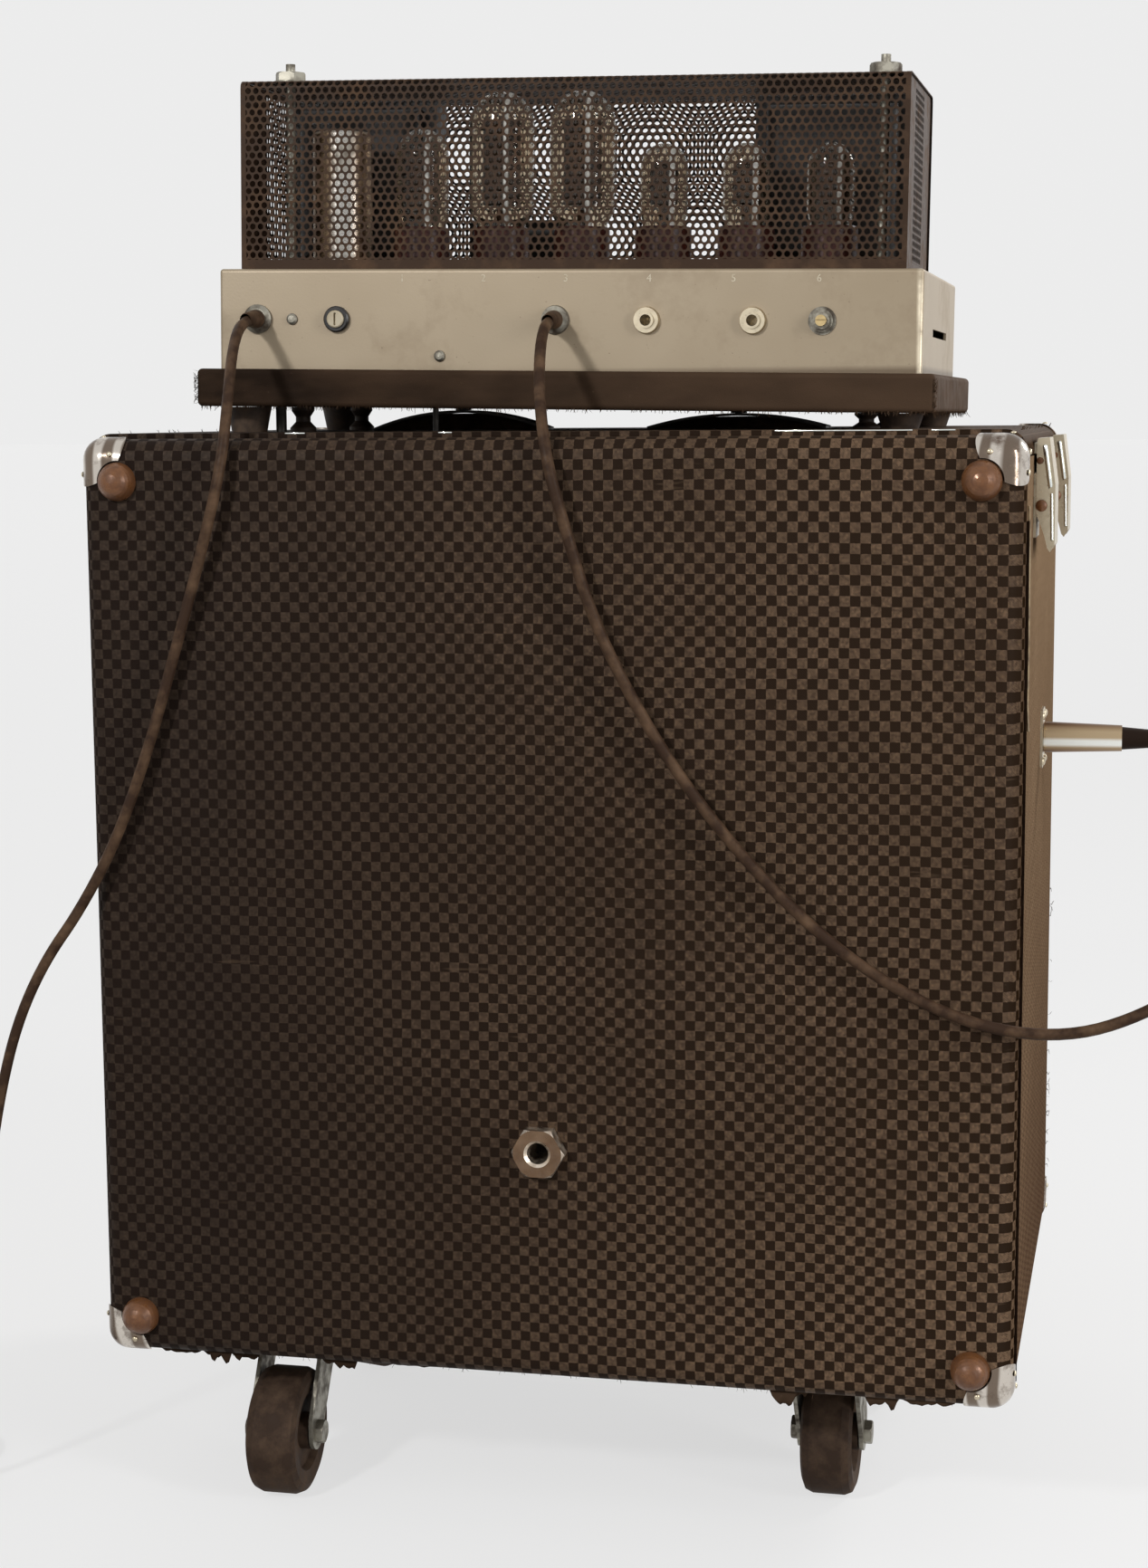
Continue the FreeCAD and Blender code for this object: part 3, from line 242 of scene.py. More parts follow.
# %% Round, square and thread-like shapes
def spun(bm, outline, start, direction, steps=24):
    """Adds a solid of revolution: outline runs from axis to axis as (radius, height), in mm."""
    turn = Vector((0, 0, 1)).rotation_difference(Vector(direction)).to_matrix().to_4x4()
    verts = [bm.verts.new(Vector((r, 0, h)) * mm) for r, h in outline]
    edges = [bm.edges.new(pair) for pair in zip(verts, verts[1:])]
    bmesh.ops.spin(bm, geom=verts + edges, cent=(0, 0, 0), axis=(0, 0, 1), angle=math.tau, steps=steps,
                   use_merge=True)
    ring = set(verts) | {v for e in edges for v in e.verts}
    faces = {f for v in ring for f in v.link_faces}
    while True:
        more = {f for face in faces for e in face.edges for f in e.link_faces} - faces
        if not more:
            break
        faces |= more
    made = list({v for f in faces for v in f.verts})
    bmesh.ops.remove_doubles(bm, verts=made, dist=1e-7)
    made = [v for v in made if v.is_valid]
    bmesh.ops.transform(bm, matrix=Matrix.Translation(Vector(start) * mm) @ turn, verts=made)
    return made


def block(bm, low, high, edge=0.0):
    """Adds a box between two corners in mm, with its edges bevelled."""
    low, high = Vector(low) * mm, Vector(high) * mm
    size = Matrix.Diagonal((*(high - low), 1.0))
    made = bmesh.ops.create_cube(bm, size=1.0, matrix=Matrix.Translation((low + high) / 2) @ size)["verts"]
    if edge:
        bmesh.ops.bevel(bm, geom=list({e for v in made for e in v.link_edges}), offset=edge * mm,
                        affect="EDGES", segments=2, profile=0.5, material=-1)
    return made


def strand(bm, points, thick, sides=3, taper=0.6):
    """Adds a thin thread through points in mm, which loses a share of its thickness by its end."""
    rings = []
    for i, point in enumerate(points):
        size = thick * (1.0 - taper * i / (len(points) - 1))
        at = Matrix.Translation(Vector(point) * mm)
        at_end = i in (0, len(points) - 1)
        ring = bmesh.ops.create_circle(bm, segments=sides, radius=size * mm, cap_ends=at_end, matrix=at)
        rings.append(ring["verts"])
    for lower, upper in zip(rings, rings[1:]):
        for k in range(sides):
            bm.faces.new((lower[k], lower[(k + 1) % sides], upper[(k + 1) % sides], upper[k]))


print("shape tools ready")

# %% [markdown]
# ## Cord rubber
# Both cords are brown rubber, dusty in patches and nearly without shine. Two noises of different
# sizes give the dust and the uneven roughness.

# %% Cord rubber
cord_finish = Finish("cord_rubber", 0.55)
dust = cord_finish.spread(cord_finish.cloud(60.0), 0.42, 0.7)
cord_finish.shine(0.12)
cord_finish.paint(cord_finish.mix(dust, ink(60, 43, 32), ink(108, 84, 64)),
                  cord_finish.spread(cord_finish.cloud(150.0), 0.3, 0.7, 0.42, 0.68))
cord_finish.bumps(cord_finish.cloud(900.0), 0.0001, 0.4)
print("cord rubber mixed")

# %% [markdown]
# ## Cords as splines
# Each cord is one open spline led by a few points. A spline is better than a mesh here, because
# its line is the cord's true length, and a bevel gives it its thickness.


# %% Cords as splines
cord_thick = 6.4


def cord_line(name, points, replaced):
    curve = bpy.data.curves.new(name, "CURVE")
    curve.dimensions = "3D"
    curve.bevel_depth = cord_thick / 2 * mm
    curve.bevel_resolution = 3
    curve.resolution_u = 6
    curve.use_fill_caps = True
    spline = curve.splines.new("NURBS")
    spline.points.add(len(points) - 1)
    for point, at in zip(spline.points, points):
        point.co = (*(Vector(at) * mm), 1.0)
    spline.order_u = 3
    spline.use_endpoint_u = True
    curve.materials.append(cord_finish.material)
    return settle(placed(name, curve), "root", replaced)


print("cords are %.1f mm thick" % cord_thick)

# %% [markdown]
# ## Mains cord
# The mains cord goes straight out of the chassis, down under its own weight, and onto the floor.
# The points down to the floor are listed one by one. The rest is put away in a flat coil of two
# layers, so a loop adds the coil's points: three turns inward, a short climb, and a little over
# three turns outward.

# %% Mains cord
mains_points = [(-188.2, -108.3, 707.4), (-188, -134, 706), (-184, -163, 690), (-178, -190, 661),
                (-177, -206, 625), (-189, -205, 580), (-205, -203, 530), (-224, -203, 468),
                (-246, -203, 411), (-270, -204, 368), (-293, -205, 337), (-311, -206, 300),
                (-323, -207, 256), (-333, -206, 204), (-343, -204, 152), (-352, -202, 104),
                (-360, -199, 64), (-366, -191, 30), (-370, -171, 9)]
coil_middle = Vector((-415.6, -146.0, 0.0))
floor_gap = 3.3
outer_turn, turn_gap, layer_gap = 44.6, 6.5, 6.5
steps_a_turn = 16
layer_turns, climb_turns = 3.0, 0.25
coil_turns = 2 * layer_turns + 2 * climb_turns
for i in range(int(coil_turns * steps_a_turn) + 1):
    done = i / steps_a_turn
    inward = min(done, layer_turns)
    outward = max(0.0, done - layer_turns - climb_turns)
    radius = outer_turn - turn_gap * inward + turn_gap * outward * layer_turns / (layer_turns + climb_turns)
    rise = layer_gap * min(1.0, max(0.0, (done - layer_turns) / climb_turns))
    angle = math.tau * done
    mains_points.append((coil_middle.x + radius * math.cos(angle), coil_middle.y + radius * math.sin(angle),
                         floor_gap + rise))
plug_height = 13.0
plug_end = (coil_middle.x - outer_turn, coil_middle.y - 13.0, plug_height)
mains_points += [plug_end, (plug_end[0], plug_end[1] - 4.0, plug_height)]
mains_line = cord_line("mains_cord_line", mains_points, ("mains_cord", "mains_coil"))
print("mains cord led by", len(mains_points), "points")

# %% [markdown]
# ## Speaker cord
# The speaker cord hangs from the chassis across the back of the box, swings out past its side,
# and comes back to the jack in the side. It has no coil, so all its points are listed one by one.

# %% Speaker cord
speaker_points = [(-8.2, -108.3, 704.4), (-7, -134, 703), (-4, -163, 687), (2, -191, 657), (10, -206, 621),
                  (20, -205, 586), (34, -204, 539), (58, -204, 491), (87, -204, 446), (121, -204, 405),
                  (160, -204, 367), (204, -204, 337), (250, -205, 319), (296, -203, 316), (336, -195, 329),
                  (369, -176, 349), (395, -145, 373), (411, -106, 397), (415, -68, 418), (417, -36, 433),
                  (414, -4, 442), (400, 20, 448), (374.5, 29.4, 451.5), (349.5, 29.4, 451.5)]
speaker_line = cord_line("speaker_cord_line", speaker_points, ("speaker_cord",))
print("speaker cord led by", len(speaker_points), "points")

# %% [markdown]
# ## Cord lengths
# A quadratic spline of this kind bends between the middles of its runs, with each point as a
# corner, so its length can be measured run by run.


# %% Cord lengths
def spline_length(points):
    """Length in metres of the quadratic spline through the middles of the runs."""
    corners = [np.array(p, float) for p in points]
    middles = [corners[0]] + [(a + b) / 2 for a, b in zip(corners[1:-1], corners[2:-1])] + [corners[-1]]
    total = 0.0
    for a, corner, b in zip(middles, corners[1:-1], middles[1:]):
        t = np.linspace(0, 1, 30)[:, None]
        run = (1 - t) ** 2 * a + 2 * t * (1 - t) * corner + t ** 2 * b
        total += np.linalg.norm(np.diff(run, axis=0), axis=1).sum()
    return total * mm


mains_length, speaker_length = spline_length(mains_points), spline_length(speaker_points)
print("cords of %.2f m and %.2f m" % (mains_length, speaker_length))

# %% [markdown]
# ## Coil tie
# A wire tie keeps the coil together. It is a ring spun from a small circle, squeezed to the
# coil's flat section, stood up, and turned across the cord.

# %% Coil tie
tie_finish = Finish("tie_wire", 0.6)
tie_finish.paint(tie_finish.mix(tie_finish.cloud(300.0), ink(24, 22, 20), ink(52, 47, 42)))
bm = bmesh.new()
tie = bmesh.ops.create_circle(bm, segments=8, radius=1.1 * mm, matrix=Matrix.Translation((17.5 * mm, 0, 0))
                              @ Matrix.Rotation(math.pi / 2, 4, "X"))
tie_edges = list({e for v in tie["verts"] for e in v.link_edges})
bmesh.ops.spin(bm, geom=tie["verts"] + tie_edges, cent=(0, 0, 0), axis=(0, 0, 1), angle=math.tau, steps=28,
               use_merge=True)
bmesh.ops.scale(bm, vec=(1.0, 0.48, 1.0), verts=bm.verts[:])
bmesh.ops.rotate(bm, verts=bm.verts[:], cent=(0, 0, 0), matrix=Matrix.Rotation(math.pi / 2, 3, "X"))
tie_place = (coil_middle + Vector((0.0, 35.0, 8.9))) * mm
bmesh.ops.translate(bm, verts=bm.verts[:], vec=tie_place)
bmesh.ops.rotate(bm, verts=bm.verts[:], cent=tie_place, matrix=Matrix.Rotation(math.pi / 2, 3, "Z"))
piece("coil_tie", bm, tie_finish, "root")
print("coil tied")

# %% [markdown]
# ## Cord sleeves
# A short rubber sleeve tapers off where each cord leaves the chassis. Its outline is half of its
# section, spun about the cord's own line.

# %% Cord sleeves
sleeve_outline = [(3.3, -1), (5.4, -1), (5.4, 3), (4.6, 10), (3.9, 18), (3.3, 20)]
bm = bmesh.new()
for points in (mains_points, speaker_points):
    start = Vector(points[0])
    spun(bm, sleeve_outline, start, Vector(points[1]) - start)
piece("cord_sleeves", bm, cord_finish, "root")
print("cord sleeves made")

# %% [markdown]
# ## Floor
# The floor is a grey matt plane, so that it keeps the object's soft shadow. It also glows pale,
# but only for camera, glossy and glass rays, so the backdrop is pale and none of the glow lights
# the object. Further out the grey gets darker and the glow takes over, which hides the lamps'
# spill and lets the floor meet the world without a line.

# %% Floor
floor_finish = Finish("studio_floor", 0.9)
rays = floor_finish.node("LightPath", {}).outputs
looked = floor_finish.sum("MAXIMUM", rays["Is Camera Ray"], rays["Is Glossy Ray"])
looked = floor_finish.sum("MAXIMUM", looked, rays["Is Transmission Ray"])
far = floor_finish.node("VectorMath", {0: floor_finish.place}, operation="LENGTH").outputs["Value"]
near_grey, far_grey = (0.26, 0.26, 0.26, 1.0), (0.08, 0.08, 0.08, 1.0)
floor_finish.paint(floor_finish.mix(floor_finish.spread(far, 0.6, 1.7), near_grey, far_grey))
glow = floor_finish.sum("MULTIPLY", looked, floor_finish.spread(far, 0.6, 1.7, 0.65, 0.745))
floor_finish.feed(floor_finish.surface.inputs["Emission Color"], (1.0, 1.0, 1.0, 1.0))
floor_finish.feed(floor_finish.surface.inputs["Emission Strength"], glow)
bm = bmesh.new()
bmesh.ops.create_grid(bm, x_segments=1, y_segments=1, size=60.0)
floor_mesh = bpy.data.meshes.new("studio_floor")
bm.to_mesh(floor_mesh)
bm.free()
floor_mesh.materials.append(floor_finish.material)
floor = placed("studio_floor", floor_mesh)
print("floor laid")

# %% [markdown]
# ## World
# The world gives a plain, slightly warm light from all round. Camera, glossy and glass rays see a
# paler shade of it, so that the backdrop is nearly white and metal and glass show the same.

# %% World
world = bpy.data.worlds.new("studio")
bpy.context.scene.world = world
world.use_nodes = True
sky = world.node_tree
rays = sky.nodes.new("ShaderNodeLightPath").outputs
shine = rays["Is Camera Ray"]
for ray in ("Is Glossy Ray", "Is Transmission Ray"):
    either = sky.nodes.new("ShaderNodeMath")
    either.operation = "MAXIMUM"
    sky.links.new(shine, either.inputs[0])
    sky.links.new(rays[ray], either.inputs[1])
    shine = either.outputs[0]
seen = sky.nodes.new("ShaderNodeMix")
seen.data_type = "RGBA"
seen.inputs[6].default_value = (0.32, 0.315, 0.305, 1.0)
seen.inputs[7].default_value = (0.84, 0.84, 0.84, 1.0)
sky.links.new(shine, seen.inputs[0])
sky.links.new(seen.outputs[2], sky.nodes["Background"].inputs["Color"])
print("world lit")

# %% [markdown]
# ## Lamps
# A small key lamp from the left throws the cords' shadows on the chassis. A tall narrow lamp to
# the right is the window whose upright reflection shows in metal and glass. A third lamp beyond
# the amplifier, on its right, keeps its edges from going black.


# %% Lamps
def lamp(name, place, aim, size, tall, watts):
    light = bpy.data.lights.new(name, "AREA")
    light.shape = "RECTANGLE"
    light.size, light.size_y, light.energy = size, tall, watts
    made = placed(name, light)
    made.visible_camera = False
    made.location = place
    made.rotation_euler = (Vector(aim) - Vector(place)).to_track_quat("-Z", "Y").to_euler()


lamp("key", (-1.0, -2.6, 1.75), (0.0, -0.1, 0.55), 0.22, 0.22, 32.0)
lamp("window", (2.5, -1.35, 1.2), (0.0, -0.1, 0.7), 0.4, 1.7, 34.0)
lamp("rim", (1.7, 1.5, 1.5), (0.0, 0.0, 0.75), 0.5, 0.5, 22.0)
print("three lamps hung")

# %% [markdown]
# ## Checked covering
# The cabinet is covered in vinyl with a pressed check: shiny hatched squares beside dull dark
# ones. The pattern is laid flat on each face by picking the two axes that lie in it, from the
# face's own direction. Age shows as paler rubbed patches and dark grime.

# %% Checked covering
squares_a_metre = 177.0


def check_covering(name, shine, letter, span, light, dark, rubbed):
    """The colours come in pairs, faded as painted light from one to the other over a span along one axis.
    """
    vinyl = Finish(name, 0.55)
    vinyl.shine(shine)
    painted_light_fade = vinyl.spread(vinyl.axis(letter), *span)
    light, dark, rubbed = (vinyl.mix(painted_light_fade, *pair) for pair in (light, dark, rubbed))
    x, y, z = (vinyl.axis(letter) for letter in "XYZ")
    sideways = vinyl.sum("GREATER_THAN", vinyl.sum("ABSOLUTE", vinyl.facing("X")), 0.72)
    flat = vinyl.sum("GREATER_THAN", vinyl.sum("ABSOLUTE", vinyl.facing("Z")), 0.72)
    across = vinyl.sum("MULTIPLY_ADD", sideways, vinyl.sum("SUBTRACT", y, x), x)
    up = vinyl.sum("MULTIPLY_ADD", flat, vinyl.sum("SUBTRACT", y, z), z)
    plane = vinyl.node("CombineXYZ", {"X": across, "Y": up, "Z": 0.002}).outputs[0]
    waver = vinyl.node("TexNoise", {"Vector": plane, "Scale": 9.0, "Detail": 2.0}).outputs["Color"]
    plane = vinyl.vector("ADD", plane, vinyl.vector("MULTIPLY", waver, (0.0022, 0.0022, 0.0)))
    fuzz = vinyl.node("TexNoise", {"Vector": plane, "Scale": 900.0, "Detail": 2.0}).outputs["Color"]
    ragged = vinyl.vector("ADD", plane, vinyl.vector("MULTIPLY", fuzz, (0.0006, 0.0006, 0.0)))
    squares = vinyl.node("TexChecker", {"Vector": ragged, "Scale": squares_a_metre,
                                        "Color1": (1, 1, 1, 1), "Color2": (0, 0, 0, 1)}).outputs["Fac"]
    hatch = vinyl.node("TexWave", {"Vector": plane, "Scale": 480.0, "Distortion": 1.5, "Detail": 1.0},
                       bands_direction="DIAGONAL").outputs["Fac"]
    speckle = vinyl.cloud(1400.0, 2.0)
    worn = vinyl.spread(vinyl.cloud(5.0, 5.0, 0.6), 0.42, 0.68)
    lit = vinyl.mix(vinyl.spread(hatch, 0.2, 0.9, 0.0, 0.55), light, dark)
    lit = vinyl.mix(vinyl.sum("MULTIPLY", worn, vinyl.spread(speckle, 0.4, 0.65, 0.1, 0.7)), lit, rubbed)
    grain = vinyl.cloud(620.0, 2.0)
    lit = vinyl.mix(vinyl.spread(grain, 0.34, 0.5, 0.45, 0.0), lit, dark)
    lit = vinyl.mix(vinyl.spread(grain, 0.54, 0.68, 0.0, 0.8), lit, rubbed)
    colour = vinyl.mix(squares, dark, lit)
    grime = vinyl.spread(vinyl.cloud(3.2, 6.0, 0.65), 0.36, 0.62, 0.45, 0.0)
    colour = vinyl.mix(grime, colour, dark)
    specks = vinyl.spread(vinyl.cloud(260.0, 3.0, 0.7), 0.72, 0.8, 0.0, 0.5)
    colour = vinyl.mix(specks, colour, ink(104, 88, 70))
    long_noise = vinyl.cloud(1.6, 3.0, 0.5, vinyl.stretched((14.0, 14.0, 130.0)))
    colour = vinyl.mix(vinyl.spread(long_noise, 0.71, 0.76, 0.0, 0.45), colour, ink(92, 74, 58))
    rough = vinyl.sum("SUBTRACT", 0.74, vinyl.sum("MULTIPLY", squares, 0.22))
    vinyl.paint(colour, vinyl.sum("ADD", rough, vinyl.spread(speckle, 0.3, 0.7, -0.05, 0.08)))
    height = vinyl.sum("ADD", vinyl.sum("MULTIPLY", squares, 0.5), vinyl.sum("MULTIPLY", hatch, 0.3))
    vinyl.bumps(vinyl.sum("ADD", height, vinyl.sum("MULTIPLY", speckle, 0.3)), 0.00016, 0.7)
    return vinyl


print("covering recipe ready")

# %% [markdown]
# ## Covering on the box
# The back and the lid are dark and grow paler to the right, which is painted light from that side.
# The sides are painted a paler tan than the back, and paler still toward the top, as painted light
# and sheen, since their own shine is nil. The back's shine fades out where it turns the corner,
# because a surface seen edge-on mirrors the backdrop and would draw a grey line down the corner.

# %% Covering on the box
# The pairs fade from left to right: painted light from the right.
back_vinyl = check_covering("checked_covering_back", 0.1, "X", (-0.2, 0.22),
                            (ink(62, 50, 41), ink(118, 95, 76)), (ink(31, 21, 15), ink(42, 29, 18)),
                            (ink(76, 62, 50), ink(138, 112, 88)))
# The pairs fade upward and are pale overall: painted light and sheen on the sides.
side_vinyl = check_covering("checked_covering_sides", 0.0, "Z", (0.14, 0.6),
                            (ink(136, 109, 86), ink(188, 158, 126)), (ink(74, 55, 42), ink(116, 94, 72)),
                            (ink(142, 115, 90), ink(194, 165, 133)))
sidelong = back_vinyl.sum("ABSOLUTE", back_vinyl.facing("X"))
back_vinyl.shine(back_vinyl.spread(sidelong, 0.5, 0.95, 0.1, 0.0))
dress(back_vinyl, "cabinet_back", "lid_board")
dress(side_vinyl, "cabinet_left_side", "cabinet_right_side", "cabinet_bottom")
print("covering on the cabinet")

# %% [markdown]
# ## Plain covering
# The platform wears a plain brown vinyl, creased and full of lint, and painted paler to the right
# as painted light from that side. One noise squeezed in height gives the creases, and a fine one
# the lint.

# %% Plain covering
plain_vinyl = Finish("plain_covering", 0.6)
plain_vinyl.shine(0.03)
folds = plain_vinyl.cloud(22.0, 5.0, 0.5, plain_vinyl.stretched((1.0, 1.0, 3.0)))
tone = plain_vinyl.mix(plain_vinyl.spread(folds, 0.35, 0.7), ink(40, 30, 23), ink(68, 52, 40))
# Paler toward the right: painted light from that side.
painted_light_to_right = plain_vinyl.spread(plain_vinyl.axis("X"), -0.15, 0.25, 0.0, 0.6)
tone = plain_vinyl.mix(painted_light_to_right, tone, ink(96, 76, 60))
lint = plain_vinyl.spread(plain_vinyl.cloud(420.0, 3.0, 0.7), 0.68, 0.78, 0.0, 0.6)
plain_vinyl.paint(plain_vinyl.mix(lint, tone, ink(110, 92, 74)),
                  plain_vinyl.spread(plain_vinyl.cloud(80.0), 0.3, 0.7, 0.5, 0.72))
plain_vinyl.bumps(plain_vinyl.sum("ADD", plain_vinyl.cloud(1500.0, 2.0), folds), 0.0002, 0.6)
dress(plain_vinyl, "platform_board")
print("platform covered")

# %% [markdown]
# ## Timber
# Inside the box there is bare pine and black plywood. Both are one noise drawn out along the
# grain, so one recipe serves them, and the drawing-out is the only thing that turns the grain.


# %% Timber
def timber(name, pale, dark, scale):
    wood = Finish(name, 0.7)
    grain = wood.node("TexNoise", {"Vector": wood.stretched(scale), "Scale": 14.0, "Detail": 6.0,
                                   "Distortion": 0.4}).outputs["Fac"]
    wood.paint(wood.mix(wood.spread(grain, 0.3, 0.7), pale, dark),
               wood.spread(wood.cloud(60.0), 0.3, 0.7, 0.6, 0.85))
    return wood.bumps(grain, 0.0003, 0.5)


dress(timber("pine", ink(196, 160, 112), ink(150, 112, 72), (8.0, 8.0, 0.7)), "cabinet_battens")
dress(timber("black_ply", ink(46, 42, 38), ink(24, 22, 20), (0.7, 8.0, 8.0)), "speaker_baffle",
      "grille_frame")
print("timber finished")

# %% [markdown]
# ## Grille cloth
# The front has a coarse woven cloth stretched over its frame. Two sine waves multiplied together
# give the weave, and flecks drawn out sideways are the thicker threads.

# %% Grille cloth
weave = Finish("speaker_cloth", 0.85)
wx = weave.sum("SINE", weave.sum("MULTIPLY", weave.axis("X"), 3600.0))
wz = weave.sum("SINE", weave.sum("MULTIPLY", weave.axis("Z"), 3600.0))
threads = weave.spread(weave.sum("MULTIPLY", wx, wz), -1.0, 1.0)
flecks = weave.spread(weave.cloud(120.0, 2.0, 0.5, weave.stretched((1.0, 1.0, 9.0))), 0.45, 0.65)
thread_colour = weave.mix(flecks, ink(96, 84, 64), ink(150, 136, 108))
weave.paint(weave.mix(threads, thread_colour, ink(58, 50, 38)), 0.85)
weave.bumps(threads, 0.0003, 0.8)
dress(weave, "grille_cloth")
print("grille cloth woven")

# %% [markdown]
# ## Metals
# Each metal is a base colour, a second colour for rust or grime, and a roughness that follows
# the same noise, so that the dirty places are also the dull ones.


# %% Metals
def metal(name, bright, dirty, rough, dirt=(0.5, 0.7), grain=(1.0, 1.0, 1.0), size=60.0, share=1.0,
          metallic=1.0):
    made = Finish(name, rough, metallic)
    patches = made.spread(made.cloud(size, 6.0, 0.65), dirt[0], dirt[1], 0.0, share)
    brushed = made.cloud(300.0, 3.0, 0.5, made.stretched(grain))
    made.paint(made.mix(patches, bright, dirty),
               made.sum("ADD", made.spread(patches, 0.0, 1.0, rough, min(1.0, rough + 0.4)),
                        made.spread(brushed, 0.3, 0.7, -0.05, 0.08)),
               made.spread(patches, 0.0, 1.0, metallic, metallic * 0.35))
    return made.bumps(made.sum("ADD", brushed, patches), 0.00006, 0.4)


print("metal recipe ready")

# %% [markdown]
# ## Chrome, nickel and zinc
# The corner caps are chrome with streaks of painted dark reflection, so a distorted wave goes over
# the recipe. The jacks and latches are warm nickel, and the caster frames and screws dull zinc.

# %% Chrome, nickel and zinc
chrome = metal("worn_chrome", ink(206, 198, 188), ink(92, 72, 58), 0.16, (0.52, 0.72), size=90.0)
# Painted dark reflections in streaks over the chrome.
reflection_streaks = chrome.node("TexWave", {"Vector": chrome.stretched((1.0, 0.5, 0.35)), "Scale": 24.0,
                                  "Distortion": 6.0, "Detail": 3.0}).outputs["Fac"]
painted_dark_reflections = chrome.spread(reflection_streaks, 0.35, 0.75, 0.9, 0.0)
chrome.paint(chrome.mix(painted_dark_reflections, chrome.now("Base Color"), ink(104, 88, 74)), chrome.now("Roughness"),
             chrome.now("Metallic"))
nickel = metal("warm_nickel", ink(196, 184, 160), ink(150, 132, 108), 0.3, (0.54, 0.8), size=190.0,
               share=0.7)
zinc = metal("dull_zinc", ink(150, 146, 134), ink(74, 62, 50), 0.42, (0.42, 0.66), size=70.0)
dress(chrome, "corner_caps", "power_switch")
dress(nickel, "latch_bases", "latch_lever_left_rear", "latch_lever_left_front", "latch_lever_right_rear",
      "latch_lever_right_front", "rear_jacks", "input_jacks", "side_jack")
casters = ("rear_left", "rear_right", "front_left", "front_right")
dress(zinc, "caster_plates", "speaker_bolts", "chassis_fittings", "control_pots", "cage_nuts",
      *["caster_fork_" + place for place in casters])
print("chrome, nickel and zinc finished")

# %% [markdown]
# ## Brown glides and a worn nut
# The four domed glides at the corners of the back have a brown skin over steel. The big nut keeps
# its bright sides, but its outward face is darker and browner, so the colour there follows the
# face's direction.

# %% Brown glides and a worn nut
rust = metal("brown_steel", ink(132, 87, 52), ink(90, 56, 34), 0.2, (0.35, 0.62), size=160.0, share=0.8,
             metallic=0.25)
dress(rust, "rear_glides")
nut = metal("worn_nut", ink(214, 202, 186), ink(150, 128, 108), 0.3, (0.48, 0.7), size=200.0, share=0.7)
# The face that looks outward is made darker and browner.
outward_face = nut.sum("LESS_THAN", nut.facing("Y"), -0.97)
outward_colour = nut.mix(nut.cloud(110.0), ink(136, 112, 90), ink(84, 62, 46))
nut.paint(nut.mix(outward_face, nut.now("Base Color"), outward_colour), nut.now("Roughness"))
dress(nut, "stand_socket")
print("glides and nut finished")

# %% [markdown]
# ## Painted and plain metals
# The cage is painted brown. Its front panel is darker on the side that faces the valves, which is
# painted shade inside the cage. The speaker's frame and the transformers are painted too, and
# the springs and the slotted shaft are bare.

# %% Painted and plain metals
cage_paint = metal("cage_enamel", ink(68, 52, 41), ink(98, 77, 61), 0.42, (0.5, 0.72), size=50.0,
                   metallic=0.0)
cage_paint.shine(0.08)
# Painted shade on the inner face of the cage's front panel.
inner_shade = cage_paint.sum("MULTIPLY", cage_paint.sum("LESS_THAN", cage_paint.facing("Y"), -0.3),
                       cage_paint.sum("GREATER_THAN", cage_paint.axis("Y"), -0.09))
cage_paint.paint(cage_paint.mix(inner_shade, cage_paint.now("Base Color"), ink(34, 25, 19)),
                 cage_paint.now("Roughness"), 0.0)
spring_steel = metal("black_spring", ink(44, 40, 36), ink(28, 24, 20), 0.38, size=80.0, metallic=0.6)
grey_enamel = metal("grey_enamel", ink(120, 120, 118), ink(84, 82, 78), 0.45, metallic=0.1)
black_enamel = metal("black_enamel", ink(34, 31, 29), ink(62, 54, 46), 0.36, metallic=0.2)
brass = metal("dull_brass", ink(186, 164, 120), ink(112, 88, 58), 0.34)
dress(spring_steel, "leaf_springs")
dress(grey_enamel, "speaker_basket")
dress(black_enamel, "transformers")
dress(brass, "hum_shaft")
print("painted and plain metals finished")

# %% [markdown]
# ## Can metal
# The capacitor can is bright aluminium with brushed lines up its height. A pale upright band down
# its middle is a painted highlight, and the rest is painted darker brown. The band leans as the
# head does.

# %% Can metal
lean_slope = -0.0166
aluminium = metal("can_metal", ink(240, 236, 228), ink(186, 174, 156), 0.24, grain=(1.0, 1.0, 40.0),
                  size=30.0)
# A painted highlight band down the can; away from it the can is painted darker.
shift = aluminium.sum("MULTIPLY_ADD", aluminium.axis("Z"), lean_slope, 0.1558)
highlight_band = aluminium.sum("ABSOLUTE", aluminium.sum("ADD", aluminium.axis("X"), shift))
aluminium.paint(aluminium.mix(aluminium.spread(highlight_band, 0.0030, 0.0085), aluminium.now("Base Color"),
                              ink(150, 126, 100)), aluminium.now("Roughness"), 0.6)
dress(aluminium, "capacitor_can")
print("can finished")

# %% [markdown]
# ## Chassis enamel
# The chassis wears a warm grey enamel with brown stains and speckles, and grime along its lower
# edge. It is rubbed to bright steel at its rear right corner, where hands lift it.

